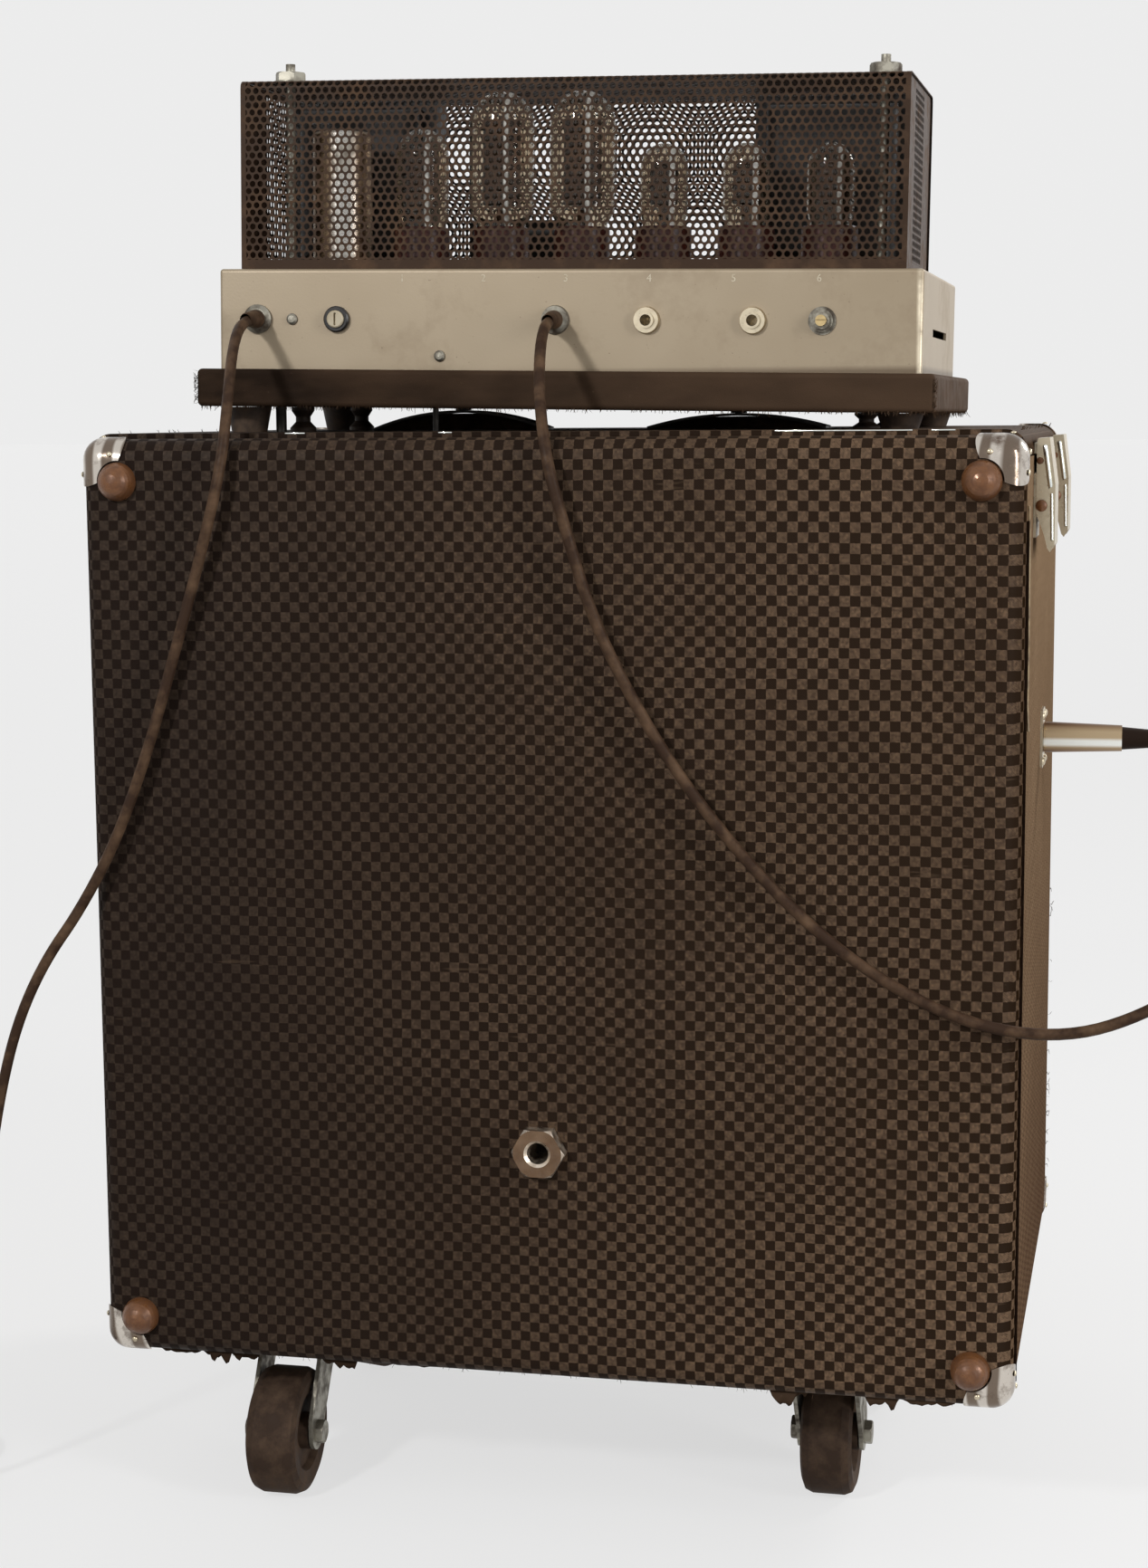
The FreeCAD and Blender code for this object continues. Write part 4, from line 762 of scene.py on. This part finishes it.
# %% Chassis enamel
enamel = Finish("chassis_enamel", 0.45, 0.25)
stain = enamel.spread(enamel.cloud(16.0, 6.0, 0.7), 0.5, 0.74, 0.0, 0.4)
base = enamel.mix(enamel.spread(enamel.cloud(5.0), 0.35, 0.65), ink(160, 143, 118), ink(174, 158, 134))
base = enamel.mix(stain, base, ink(118, 98, 74))
pits = enamel.spread(enamel.cloud(380.0, 3.0, 0.7), 0.7, 0.77, 0.0, 0.7)
base = enamel.mix(pits, base, ink(86, 68, 50))
right_edge, rear_wall, lower_edge, above_edge = 0.2018, -0.1015, 0.6738, 0.6768
corner = enamel.sum("ABSOLUTE", enamel.sum("SUBTRACT", enamel.axis("X"), right_edge))
at_rear = enamel.sum("LESS_THAN", enamel.axis("Y"), rear_wall)
rubbed = enamel.sum("MULTIPLY", enamel.spread(corner, 0.0004, 0.0022, 1.0, 0.0), at_rear)
rubbed = enamel.sum("MULTIPLY", rubbed, enamel.spread(enamel.cloud(90.0), 0.35, 0.6, 0.2, 1.0))
grimy = enamel.spread(enamel.axis("Z"), lower_edge, above_edge, 0.7, 0.0)
base = enamel.mix(grimy, base, ink(92, 74, 54))
enamel.paint(enamel.mix(rubbed, base, ink(226, 214, 190)), enamel.spread(stain, 0.0, 0.4, 0.42, 0.6),
             enamel.spread(rubbed, 0.0, 1.0, 0.25, 0.9))
enamel.bumps(enamel.cloud(700.0, 2.0), 0.00008, 0.5)
dress(enamel, "chassis")
print("chassis finished")

# %% [markdown]
# ## Plastics, rubber and paper
# Small parts share one recipe, a base colour broken by noise. Dusty rubber hardly shines, and
# moulded plastic has the smallest bumps.


# %% Plastics, rubber and paper
def mottled(name, first, second, rough, size=80.0, bump=0.0001, grain=500.0):
    made = Finish(name, rough)
    made.paint(made.mix(made.spread(made.cloud(size, 5.0, 0.65), 0.4, 0.65), first, second),
               made.spread(made.cloud(size * 2), 0.3, 0.7, max(0.05, rough - 0.08), rough + 0.12))
    return made.bumps(made.cloud(grain, 2.0), bump, 0.5)


tread = mottled("dusty_tread", ink(60, 46, 37), ink(92, 74, 60), 0.72, 60.0, 0.00015, 420.0)
tread.shine(0.15)
dress(tread, *["caster_wheel_" + place for place in casters])
dress(mottled("mount_rubber", ink(52, 39, 30), ink(92, 73, 57), 0.6), "shock_mounts")
dress(mottled("black_bakelite", ink(26, 24, 23), ink(38, 34, 31), 0.28, bump=0.00003), "fuse_holder",
      "knob_1", "knob_2", "knob_3", "knob_4")
dress(mottled("ivory_plastic", ink(206, 194, 168), ink(182, 166, 136), 0.35, bump=0.00003), "fuse_cap")
dress(mottled("brown_bakelite", ink(84, 40, 30), ink(58, 26, 20), 0.3, bump=0.00003), "tube_bases")
dress(mottled("phenolic_board", ink(150, 112, 66), ink(120, 86, 48), 0.6), "component_board")
dress(mottled("cone_paper", ink(46, 44, 42), ink(32, 30, 29), 0.85, 200.0, 0.0003, 400.0), "speaker_cone")
dress(mottled("surround_cloth", ink(40, 38, 35), ink(28, 26, 24), 0.7, 200.0, 0.0003, 900.0),
      "speaker_suspension")
dress(mottled("plug_rubber", ink(40, 34, 30), ink(58, 50, 43), 0.5), "mains_plug")
print("plastics, rubber and paper finished")

# %% [markdown]
# ## Valves
# The glass is clear and slightly smoked. Each valve has a narrow upright painted highlight, a
# bright opaque strip on the side toward the rear, repeated at the valves' pitch. It leans as the
# head does. The metalwork inside is dark.

# %% Valves
plates = metal("valve_plates", ink(84, 66, 56), ink(48, 34, 28), 0.4, metallic=0.3)
dress(plates, "tube_plates")
glass = Finish("valve_glass", 0.03)
glass.feed(glass.surface.inputs["IOR"], 1.45)
smoke = glass.spread(glass.cloud(70.0), 0.3, 0.7)
valve_pitch, highlight_x, rear_of_glass = 0.0489, 0.0064, -0.0612
shift = glass.sum("MULTIPLY_ADD", glass.axis("Z"), lean_slope, 0.0136 + valve_pitch / 2)
along = glass.sum("FLOORED_MODULO", glass.sum("ADD", glass.axis("X"), shift), valve_pitch)
along = glass.sum("SUBTRACT", along, valve_pitch / 2)
# The painted highlight: a bright opaque strip down each valve's glass.
off_highlight = glass.sum("ABSOLUTE", glass.sum("SUBTRACT", along, highlight_x))
strip = glass.spread(off_highlight, 0.0008, 0.0018, 1.0, 0.0)
painted_highlight = glass.sum("MULTIPLY", strip, glass.sum("LESS_THAN", glass.axis("Y"), rear_of_glass))
painted_highlight = glass.sum("MULTIPLY", painted_highlight, glass.spread(glass.cloud(160.0), 0.3, 0.55, 0.5, 1.0))
clear = glass.mix(smoke, ink(232, 226, 214), ink(196, 180, 160))
glass.paint(glass.mix(painted_highlight, clear, ink(255, 253, 246)), glass.spread(painted_highlight, 0.0, 1.0, 0.04, 0.4))
glass.feed(glass.surface.inputs["Transmission Weight"], glass.sum("SUBTRACT", 1.0, painted_highlight))
dress(glass, "tube_glass")
print("valves finished")

# %% [markdown]
# ## Plug metal
# The plug in the side jack is a nickel barrel with a rubber boot. A pale band along the worn
# plating is a painted highlight, the barrel is painted darker toward its top and bottom as shade,
# and the boot begins at a fixed x.

# %% Plug metal
plug_metal = metal("plug_metal", ink(206, 196, 172), ink(150, 132, 104), 0.28, (0.55, 0.8), size=40.0)
boot_start, highlight_height, barrel_middle = 0.3156, 0.4492, 0.4515
at_boot = plug_metal.sum("GREATER_THAN", plug_metal.axis("X"), boot_start)
height = plug_metal.axis("Z")
# Painted highlight band along the barrel.
highlight_band = plug_metal.sum("ABSOLUTE", plug_metal.sum("SUBTRACT", height, highlight_height))
tone = plug_metal.mix(plug_metal.spread(highlight_band, 0.0012, 0.0032), ink(250, 252, 246), ink(190, 168, 136))
# Painted shade toward the barrel's top and bottom.
rim = plug_metal.sum("ABSOLUTE", plug_metal.sum("SUBTRACT", height, barrel_middle))
tone = plug_metal.mix(plug_metal.spread(rim, 0.0045, 0.0085), tone, ink(112, 82, 58))
plug_metal.paint(plug_metal.mix(at_boot, tone, ink(48, 36, 29)),
                 plug_metal.sum("MULTIPLY_ADD", at_boot, 0.25, 0.3),
                 plug_metal.sum("SUBTRACT", 1.0, at_boot))
plug_metal.shine(0.1)
dress(plug_metal, "speaker_plug")
print("plug finished")

# %% [markdown]
# ## One sheet of holes
# The cage is steel with staggered round holes. One cell, a hexagon with a round hole in it, is
# copied in doubling steps to cover the sheet, which is then trimmed and given its plain edges.
# Real holes are needed, because the valves and the background show through them.

# %% One sheet of holes
hole_pitch, hole_radius, cage_sheet = 4.76, 1.8, 0.6
row_pitch = hole_pitch * math.sqrt(3) / 2


def copy_all(bm, step):
    """Adds a copy of everything so far, moved by a step."""
    again = bmesh.ops.duplicate(bm, geom=bm.verts[:] + bm.edges[:] + bm.faces[:])["geom"]
    bmesh.ops.translate(bm, verts=[g for g in again if isinstance(g, bmesh.types.BMVert)], vec=step)


def hole_sheet(width, height, bottom, top, edge):
    """A flat sheet in x and y, in mm, with plain strips of those widths along its edges."""
    bm = bmesh.new()
    outer = bmesh.ops.create_circle(bm, segments=6, radius=hole_pitch / math.sqrt(3))["verts"]
    rim = list({e for v in outer for e in v.link_edges})
    bmesh.ops.subdivide_edges(bm, edges=rim, cuts=1)
    loops = list(bm.edges)
    hole = bmesh.ops.create_circle(bm, segments=12, radius=hole_radius)["verts"]
    bmesh.ops.bridge_loops(bm, edges=loops + list({e for v in hole for e in v.link_edges}))
    copy_all(bm, Vector((hole_pitch / 2, row_pitch, 0)))
    for reach, limit, way in ((hole_pitch, width, Vector((1, 0, 0))),
                              (2 * row_pitch, height, Vector((0, 1, 0)))):
        while reach < limit + 3 * hole_pitch:
            copy_all(bm, way * reach)
            reach *= 2
    bmesh.ops.remove_doubles(bm, verts=bm.verts[:], dist=0.02)
    bmesh.ops.translate(bm, verts=bm.verts[:], vec=(-hole_pitch, -row_pitch, 0))
    for at, way in (((edge, 0, 0), (-1, 0, 0)), ((width - edge, 0, 0), (1, 0, 0)),
                    ((0, bottom, 0), (0, -1, 0)), ((0, height - top, 0), (0, 1, 0))):
        bmesh.ops.bisect_plane(bm, geom=bm.verts[:] + bm.edges[:] + bm.faces[:], plane_co=at, plane_no=way,
                               clear_outer=True)
    for x0, x1, y0, y1 in ((0, edge, 0, height), (width - edge, width, 0, height),
                           (edge, width - edge, 0, bottom), (edge, width - edge, height - top, height)):
        if x1 - x0 > 0.01 and y1 - y0 > 0.01:
            rows = 60 if y1 - y0 > 20 else 1
            shift = Matrix.Translation(((x0 + x1) / 2, (y0 + y1) / 2, 0))
            bmesh.ops.create_grid(bm, x_segments=1, y_segments=rows, size=0.5,
                                  matrix=shift @ Matrix.Diagonal((x1 - x0, y1 - y0, 1, 1)))
    return bm


print("holes of %.1f mm, %.2f mm apart" % (2 * hole_radius, hole_pitch))

# %% [markdown]
# ## Bending and placing a sheet
# The rear and front sheets are bent over at the top, so their points are moved along a quarter
# circle. Every panel leans with the head, and a solidify modifier gives it its thickness.


# %% Bending and placing a sheet
cage_low, cage_high = Vector((-202.0, -95.9, 733.8)), Vector((192.0, 42.1, 842.5))
cage_size = cage_high - cage_low
lean = Matrix.Rotation(math.radians(0.95), 4, "Y")
lean_pivot = Vector((0.0, 0.0, 653.0)) * mm
bend = 4.0
bend_start = cage_size.z - bend
bend_length = math.pi / 2 * bend


def round_the_bend(bm, mirrored):
    """Stands a flat sheet up along the cage's rear or front, and folds its top over."""
    for vert in bm.verts:
        x, run, _ = vert.co
        turned = min(max(run - bend_start, 0.0), bend_length) / bend
        over = max(run - bend_start - bend_length, 0.0)
        inward = bend * (1 - math.cos(turned)) + over
        z = cage_low.z + min(run, bend_start) + bend * math.sin(turned)
        y = cage_high.y - inward if mirrored else cage_low.y + inward
        vert.co = Vector((cage_low.x + x, y, z)) * mm


def thicken(made, name, thickness):
    wall = made.modifiers.new(name, "SOLIDIFY")
    wall.thickness = thickness * mm
    wall.offset = 0.0


def aimed(bm, outward):
    """Turns the faces of an open sheet to one side."""
    bm.normal_update()
    bmesh.ops.remove_doubles(bm, verts=bm.verts[:], dist=1e-5)
    wrong = [f for f in bm.faces if f.normal.dot(outward(f.calc_center_median())) < 0]
    bmesh.ops.reverse_faces(bm, faces=wrong)


def panel(name, bm, replaced=()):
    bmesh.ops.rotate(bm, verts=bm.verts[:], cent=lean_pivot, matrix=lean)
    for face in bm.faces:
        face.smooth = False
    mesh = bpy.data.meshes.new(name)
    bm.to_mesh(mesh)
    bm.free()
    mesh.materials.append(cage_paint.material)
    thicken(settle(placed(name, mesh), "cage", replaced), "sheet", cage_sheet)
    print(name, len(mesh.polygons), "faces before thickening")


print("cage is", [round(v, 1) for v in cage_size], "mm")

# %% [markdown]
# ## Cage panels
# The rear and front sheets carry the bends, the top lies between them, and the two ends stand
# inside. The ends are plain sheet with a strip of holes up their middle.

# %% Cage panels
over_top = 3.0
stood = bend_start + bend_length + over_top
cage_base = (cage_low + Vector((cage_size.x, cage_size.y, 0.0)) / 2) * mm
for name, mirrored, replaced in (("cage_rear_panel", False, ("cage_shell",)),
                                 ("cage_front_panel", True, ())):
    bm = hole_sheet(cage_size.x, stood, 5.5, 0.0, 3.0)
    round_the_bend(bm, mirrored)
    aimed(bm, lambda at: at - cage_base)
    panel(name, bm, replaced)
bm = hole_sheet(cage_size.x, cage_size.y - 2 * (bend + over_top), 0.0, 0.0, 3.0)
bmesh.ops.translate(bm, verts=bm.verts[:], vec=(cage_low.x, cage_low.y + bend + over_top, cage_high.z))
bmesh.ops.scale(bm, vec=(mm, mm, mm), verts=bm.verts[:])
aimed(bm, lambda at: Vector((0, 0, 1)))
panel("cage_top_panel", bm)
for name, side in (("cage_left_panel", -1), ("cage_right_panel", 1)):
    bm = hole_sheet(cage_size.y - 2 * cage_sheet, cage_size.z - cage_sheet, 5.5, 4.0, 42.0)
    turn = Matrix(((0, 0, 1, 0), (1, 0, 0, 0), (0, 1, 0, 0), (0, 0, 0, 1)))
    bmesh.ops.transform(bm, matrix=turn, verts=bm.verts[:])
    x = cage_high.x - 1.6 if side > 0 else cage_low.x + 1.6
    bmesh.ops.translate(bm, verts=bm.verts[:], vec=(x, cage_low.y + cage_sheet, cage_low.z))
    bmesh.ops.scale(bm, vec=(mm, mm, mm), verts=bm.verts[:])
    aimed(bm, lambda at: Vector((side, 0, 0)))
    panel(name, bm)

# %% [markdown]
# ## Latch links and rivets
# Each latch gets its bright links and its brown rivets, one set on either cheek. They are spun
# about their own axes, and the left latches are the right ones mirrored in x.

# %% Latch links and rivets
side_x, mid_y, top_z, back_y = 266.7, 5.4, 638.0, -194.6
bright = metal("bright_link", ink(226, 230, 226), ink(150, 146, 132), 0.14, (0.6, 0.8), size=200.0)
latch_half, latch_reach = 21.0, 95.0
long_link = [(0, 0), (1.0, 0.2), (1.4, 1.2), (1.4, 23.0), (1.0, 24.0), (0, 24.2)]
thin_link = [(0, 0), (0.7, 0.2), (0.9, 1.2), (0.9, 26.0), (0, 27.0)]
for side, hand in ((-1, "left"), (1, "right")):
    for step, end in ((-1, "rear"), (1, "front")):
        y = mid_y + step * latch_reach
        links, rivets = bmesh.new(), bmesh.new()
        for cheek in (-1, 1):
            face = y + cheek * (latch_half + 0.3)
            spun(links, long_link, (side_x + 6.0, face, top_z - 6.0), (3.4, 0, -24.0), 10)
            spun(links, thin_link, (side_x + 10.0, face, top_z - 33.0), (0.6, 0, -27.0), 10)
            for out, drop, size, proud in ((4.5, 40.0, 3.3, 1.0), (3.4, 15.0, 2.0, 0.0)):
                spun(rivets, [(0, -0.8), (size, -0.8), (size, 0.2), (0.75 * size, 1.1), (0, 1.5)],
                     (side_x + out, face + cheek * proud, top_z - drop), (0, cheek, 0), 14)
        for bm, name, finish, slot in ((links, "links", bright, "bright_chrome"),
                                       (rivets, "rivets", rust, "rusty_steel")):
            bmesh.ops.scale(bm, vec=(side, 1, 1), verts=bm.verts[:])
            piece("latch_%s_%s_%s" % (name, hand, end), bm, finish, "lever_%s_%s" % (hand, end))
print("four latches dressed")

# %% [markdown]
# ## Corner nails
# Each corner cap is held by four small domed nails: two in the side, one in the back or front,
# and one in the top or bottom. A nail is half of a low dome, spun.

# %% Corner nails
nail = [(0, 0), (1.7, 0), (1.7, 0.3), (1.2, 0.9), (0, 1.2)]
lid_top, front_y, bottom_z = 641.0, 205.4, 100.0
bm = bmesh.new()
for side in (-1, 1):
    for y, out in ((back_y, -1), (front_y, 1)):
        for z, up in ((bottom_z, 1), (top_z if out < 0 else lid_top, -1)):
            for place, way in (((side * (side_x + 1.0), y - out * 20.0, z + up * 9.0), (side, 0, 0)),
                               ((side * (side_x + 1.0), y - out * 9.0, z + up * 20.0), (side, 0, 0)),
                               ((side * (side_x - 8.0), y - out * 19.5, z - up * 1.0), (0, 0, -up)),
                               ((side * (side_x - 19.0), y + out * 1.0, z + up * 8.5), (0, out, 0))):
                spun(bm, nail, place, way, 10)
piece("corner_nails", bm, nickel, "root")
print("corner nails driven")

# %% [markdown]
# ## Bead, seam shade and seam trim
# A pale bead runs down the upper part of the right seam, and the rest of it has broken off. Both
# rear seams have a dark strand of painted shade in the gap between back and side. Short lengths
# of bright metal show in the lid's rear seam.

# %% Bead, seam shade and seam trim
bead_finish = mottled("cream_bead", ink(188, 160, 116), ink(116, 92, 66), 0.45, 120.0)
seam_finish = mottled("seam_shadow", ink(26, 17, 12), ink(40, 28, 20), 0.8, 120.0)
seam_finish.shine(0.0)
bead = [(267.6, -172.9, 600.0), (268.0, -172.8, 585.0), (268.2, -173.0, 560.0), (268.4, -172.7, 520.0),
        (268.3, -172.9, 492.0), (269.0, -173.3, 478.0)]
bm = bmesh.new()
strand(bm, bead, 0.75, sides=6, taper=0.0)
piece("seam_bead", bm, bead_finish, "root")

# A dark strand down each rear seam is painted shade in the gap.
bm = bmesh.new()
for side in (-1, 1):
    strand(bm, [(side * 266.9, -175.4, z) for z in range(112, 622, 30)], 1.5, sides=6, taper=0.0)
piece("seam_shade_strand", bm, seam_finish, "root")

bm = bmesh.new()
for x0, x1 in ((-150.0, -138.0), (-60.0, -52.0), (130.0, 205.0), (215.0, 228.0)):
    block(bm, (x0, -174.9, 640.2), (x1, -173.7, 641.1), 0.3)
piece("lid_seam_trim", bm, bright, "root")
print("bead, welt and trim made")

# %% [markdown]
# ## Frayed platform
# The covering frays along the platform's lower edges and stands off its rear corners. The frays
# are hundreds of tapering threads of three sides each, laid out by one seeded generator, so they
# come out the same every time.


# %% Frayed platform
draw = np.random.default_rng(31)


def hang(bm, x, y, z, length, thick):
    """One thread, starting at a place in mm and wandering as it falls."""
    drift = draw.normal(0, 0.35, 2)
    points = [(x, y, z + 0.6)]
    for i in range(1, 4):
        drift = drift + draw.normal(0, 0.25, 2)
        points.append((x + drift[0] * length * i / 6, y + drift[1] * length * i / 6, z - length * i / 3))
    strand(bm, points, thick)


def on_head(bm):
    bmesh.ops.rotate(bm, verts=bm.verts[:], cent=lean_pivot, matrix=lean)
    return bm


head_x, board_low = -5.0, 653.4
bm = bmesh.new()
for i in range(260):
    x = draw.uniform(head_x - 215, head_x + 215)
    clump = 1.0 + 2.2 * max(0.0, noise.noise(Vector((x / 26.0, 3.0, 0.0))))
    hang(bm, x, -121.2 + draw.uniform(0.2, 2.0), board_low, draw.uniform(0.8, 2.0) * clump,
         draw.uniform(0.16, 0.34))
for i in range(90):
    y = draw.uniform(-118, 128)
    for side in (-1, 1):
        hang(bm, head_x + side * (216.6 - draw.uniform(0, 1.5)), y, board_low, draw.uniform(0.8, 3.4),
             draw.uniform(0.16, 0.32))
for i in range(60):
    side = draw.choice((-1, 1))
    x, z = head_x + side * 216.9, draw.uniform(655, 674)
    strand(bm, [(x - side * 0.4, -120.5 + draw.uniform(0, 2), z),
                (x + side * draw.uniform(0.2, 0.6), -121.4, z + draw.normal(0, 1)),
                (x + side * draw.uniform(0.6, 1.6), -121.8, z + draw.normal(0, 1.5))], 0.3)
piece("platform_frays", on_head(bm), plain_vinyl, "root")
print("platform frayed")

# %% [markdown]
# ## Torn flaps
# The covering is torn along the cabinet's bottom edges. A flap is a narrow grid whose lower edge
# is pulled down and curled unevenly by noise, then thickened.


# %% Torn flaps
def flap(bm, start, across, width, drop, jag):
    """A ragged strip: start is its upper corner in mm, across the way it runs."""
    columns = max(3, int(width / 1.6))
    grid = bmesh.ops.create_grid(bm, x_segments=columns, y_segments=2, size=0.5)["verts"]
    way = Vector(across).normalized()
    for vert in grid:
        share, depth = vert.co.x + 0.5, 0.5 - vert.co.y
        ripple = noise.noise(Vector((share * width / 4.5, start[0], depth)))
        fall = drop * depth * (1.0 + jag * ripple) * min(1.0, 6 * share, 6 * (1 - share) + 0.15)
        push = 1.2 * depth * noise.noise(Vector((share * width / 5.0, 9.0, start[2])))
        curl = Vector((-way.y, way.x, 0)) * push
        vert.co = (Vector(start) + way * share * width + curl + Vector((0, 0, -fall))) * mm


tear_z, back_edge, side_edge = 100.6, -185.0, 257.5
bm = bmesh.new()
for x, width, drop in ((-236, 26, 2.4), (-212, 30, 3.4), (-205, 14, 4.6), (-190, 17, 3.6), (-136, 16, 3.6),
                       (-126, 12, 4.8), (-112, 150, 1.0), (40, 90, 0.9), (130, 16, 7.0), (141, 11, 4.0),
                       (184, 20, 5.0), (205, 30, 2.2)):
    flap(bm, (x, back_edge + draw.uniform(-2, 3), tear_z), (1, draw.uniform(-0.05, 0.05), 0), width,
         drop, 1.1)
for y, width, drop in ((-150, 20, 4.0), (-60, 30, 3.0), (40, 24, 5.0), (120, 20, 6.0), (170, 14, 5.0)):
    flap(bm, (side_edge, y, tear_z), (0, 1, 0), width, drop, 1.6)
flaps = piece("torn_covering", bm, plain_vinyl, "root")
thicken(flaps, "cloth", 0.5)
print("flaps torn")

# %% [markdown]
# ## Frayed cabinet
# Threads hang from the bottom edge of the back, and short ones stand off the front right corner
# and the lid's side seams. They are made like the platform's.

# %% Frayed cabinet
bm = bmesh.new()
for i in range(150):
    x = draw.uniform(-240, 240)
    hang(bm, x, -184.0 + draw.uniform(0, 6), 100.4, draw.uniform(0.8, 4.0), draw.uniform(0.14, 0.3))
for i in range(30):
    z = draw.uniform(110, 330)
    out = draw.uniform(0.6, 2.6)
    strand(bm, [(266.4, 196.0, z), (266.8 + out / 2, 197.0, z + draw.normal(0, 1.0)),
                (266.8 + out, 197.5, z + draw.normal(0, 2.0))], 0.3)
for i in range(40):
    y, side = draw.uniform(-160, 190), draw.choice((-1, 1))
    strand(bm, [(side * 262.0, y, 640.4), (side * 262.6, y + draw.normal(0, 1), 641.6),
                (side * 263.0, y + draw.normal(0, 2), 642.6)], 0.26)
piece("cabinet_frays", bm, plain_vinyl, "root")
print("cabinet frayed")

# %% [markdown]
# ## Shade fill under the leaf springs
# A dark matt filler stands in the hollow under each leaf spring as painted shade, so that no
# light passes below the bow. It is one flat outline under a parabola, extruded across the spring.

# %% Spring shade fill
pad_low, pad_half, pad_rear, pad_front = 641.2, 54.0, -5.0, 16.0
shares = [i / 12 - 1 for i in range(25)]
bm = bmesh.new()
for x, crown in ((-92.0, 10.0), (82.0, 7.2)):
    arch = [(x + pad_half * share, pad_low + 0.1 + crown * (1 - share ** 2)) for share in shares]
    foot = [(x + pad_half * share, pad_low) for share in reversed(shares)]
    outline = bm.faces.new([bm.verts.new((px * mm, pad_rear * mm, pz * mm)) for px, pz in arch + foot])
    grown = bmesh.ops.extrude_face_region(bm, geom=[outline])["geom"]
    bmesh.ops.translate(bm, verts=[g for g in grown if isinstance(g, bmesh.types.BMVert)],
                        vec=(0, (pad_front - pad_rear) * mm, 0))
# The dark filler is painted shade under each bow.
shade_fill = mottled("painted_shade_fill", ink(34, 25, 19), ink(58, 44, 34), 0.9, 150.0, 0.0003, 900.0)
shade_fill.shine(0.05)
piece("spring_shade_fill", bm, shade_fill, "root")
print("felt pads laid")

# %% [markdown]
# ## Numbers
# Plain numbers count the valves along the rear of the chassis, and at the front the marks round
# each knob and the input jacks. They are text made into a mesh, because a mesh can lean with the
# head.


# %% Numbers
white_ink = mottled("white_ink", ink(226, 216, 194), ink(196, 182, 154), 0.6, 400.0, 0.00002)


def number(bm, text, size, middle, rear=True):
    """Adds a number to bm, its middle at a place in mm, read from the rear or the front."""
    letters = bpy.data.curves.new("number", "FONT")
    letters.body, letters.size = str(text), size * mm
    letters.align_x, letters.align_y = "CENTER", "CENTER"
    letters.extrude, letters.resolution_u = 0.06 * mm, 3
    holder = bpy.data.objects.new("number", letters)
    shape = bpy.data.meshes.new_from_object(holder)
    turn = Matrix.Rotation(math.pi / 2, 4, "X")
    if not rear:
        turn = Matrix.Rotation(math.pi, 4, "Z") @ turn
    shape.transform(Matrix.Translation(Vector(middle) * mm) @ turn)
    bm.from_mesh(shape)
    bpy.data.meshes.remove(shape)
    bpy.data.objects.remove(holder)
    bpy.data.curves.remove(letters)


rear_face, front_face, dial, knob_z, valve_step = -104.33, 115.13, 17.0, 705.0, 48.9
bm = bmesh.new()
for i in range(6):
    number(bm, i + 1, 6.0, (head_x + 2.0 + valve_step * (i - 2), rear_face, 728.0))
for x in (-60, -20, 20, 60):
    for mark in range(0, 11, 2):
        angle = math.radians(-140 + 28 * mark)
        place = (head_x + x - dial * math.sin(angle), front_face, knob_z + dial * math.cos(angle))
        number(bm, mark, 4.2, place, rear=False)
for i, x in enumerate((-180, -155, -130, -105)):
    number(bm, 4 - i, 4.6, (head_x + x, front_face, 691.0), rear=False)
piece("panel_numbers", on_head(bm), white_ink, "root", smooth=False)
print("numbers placed")
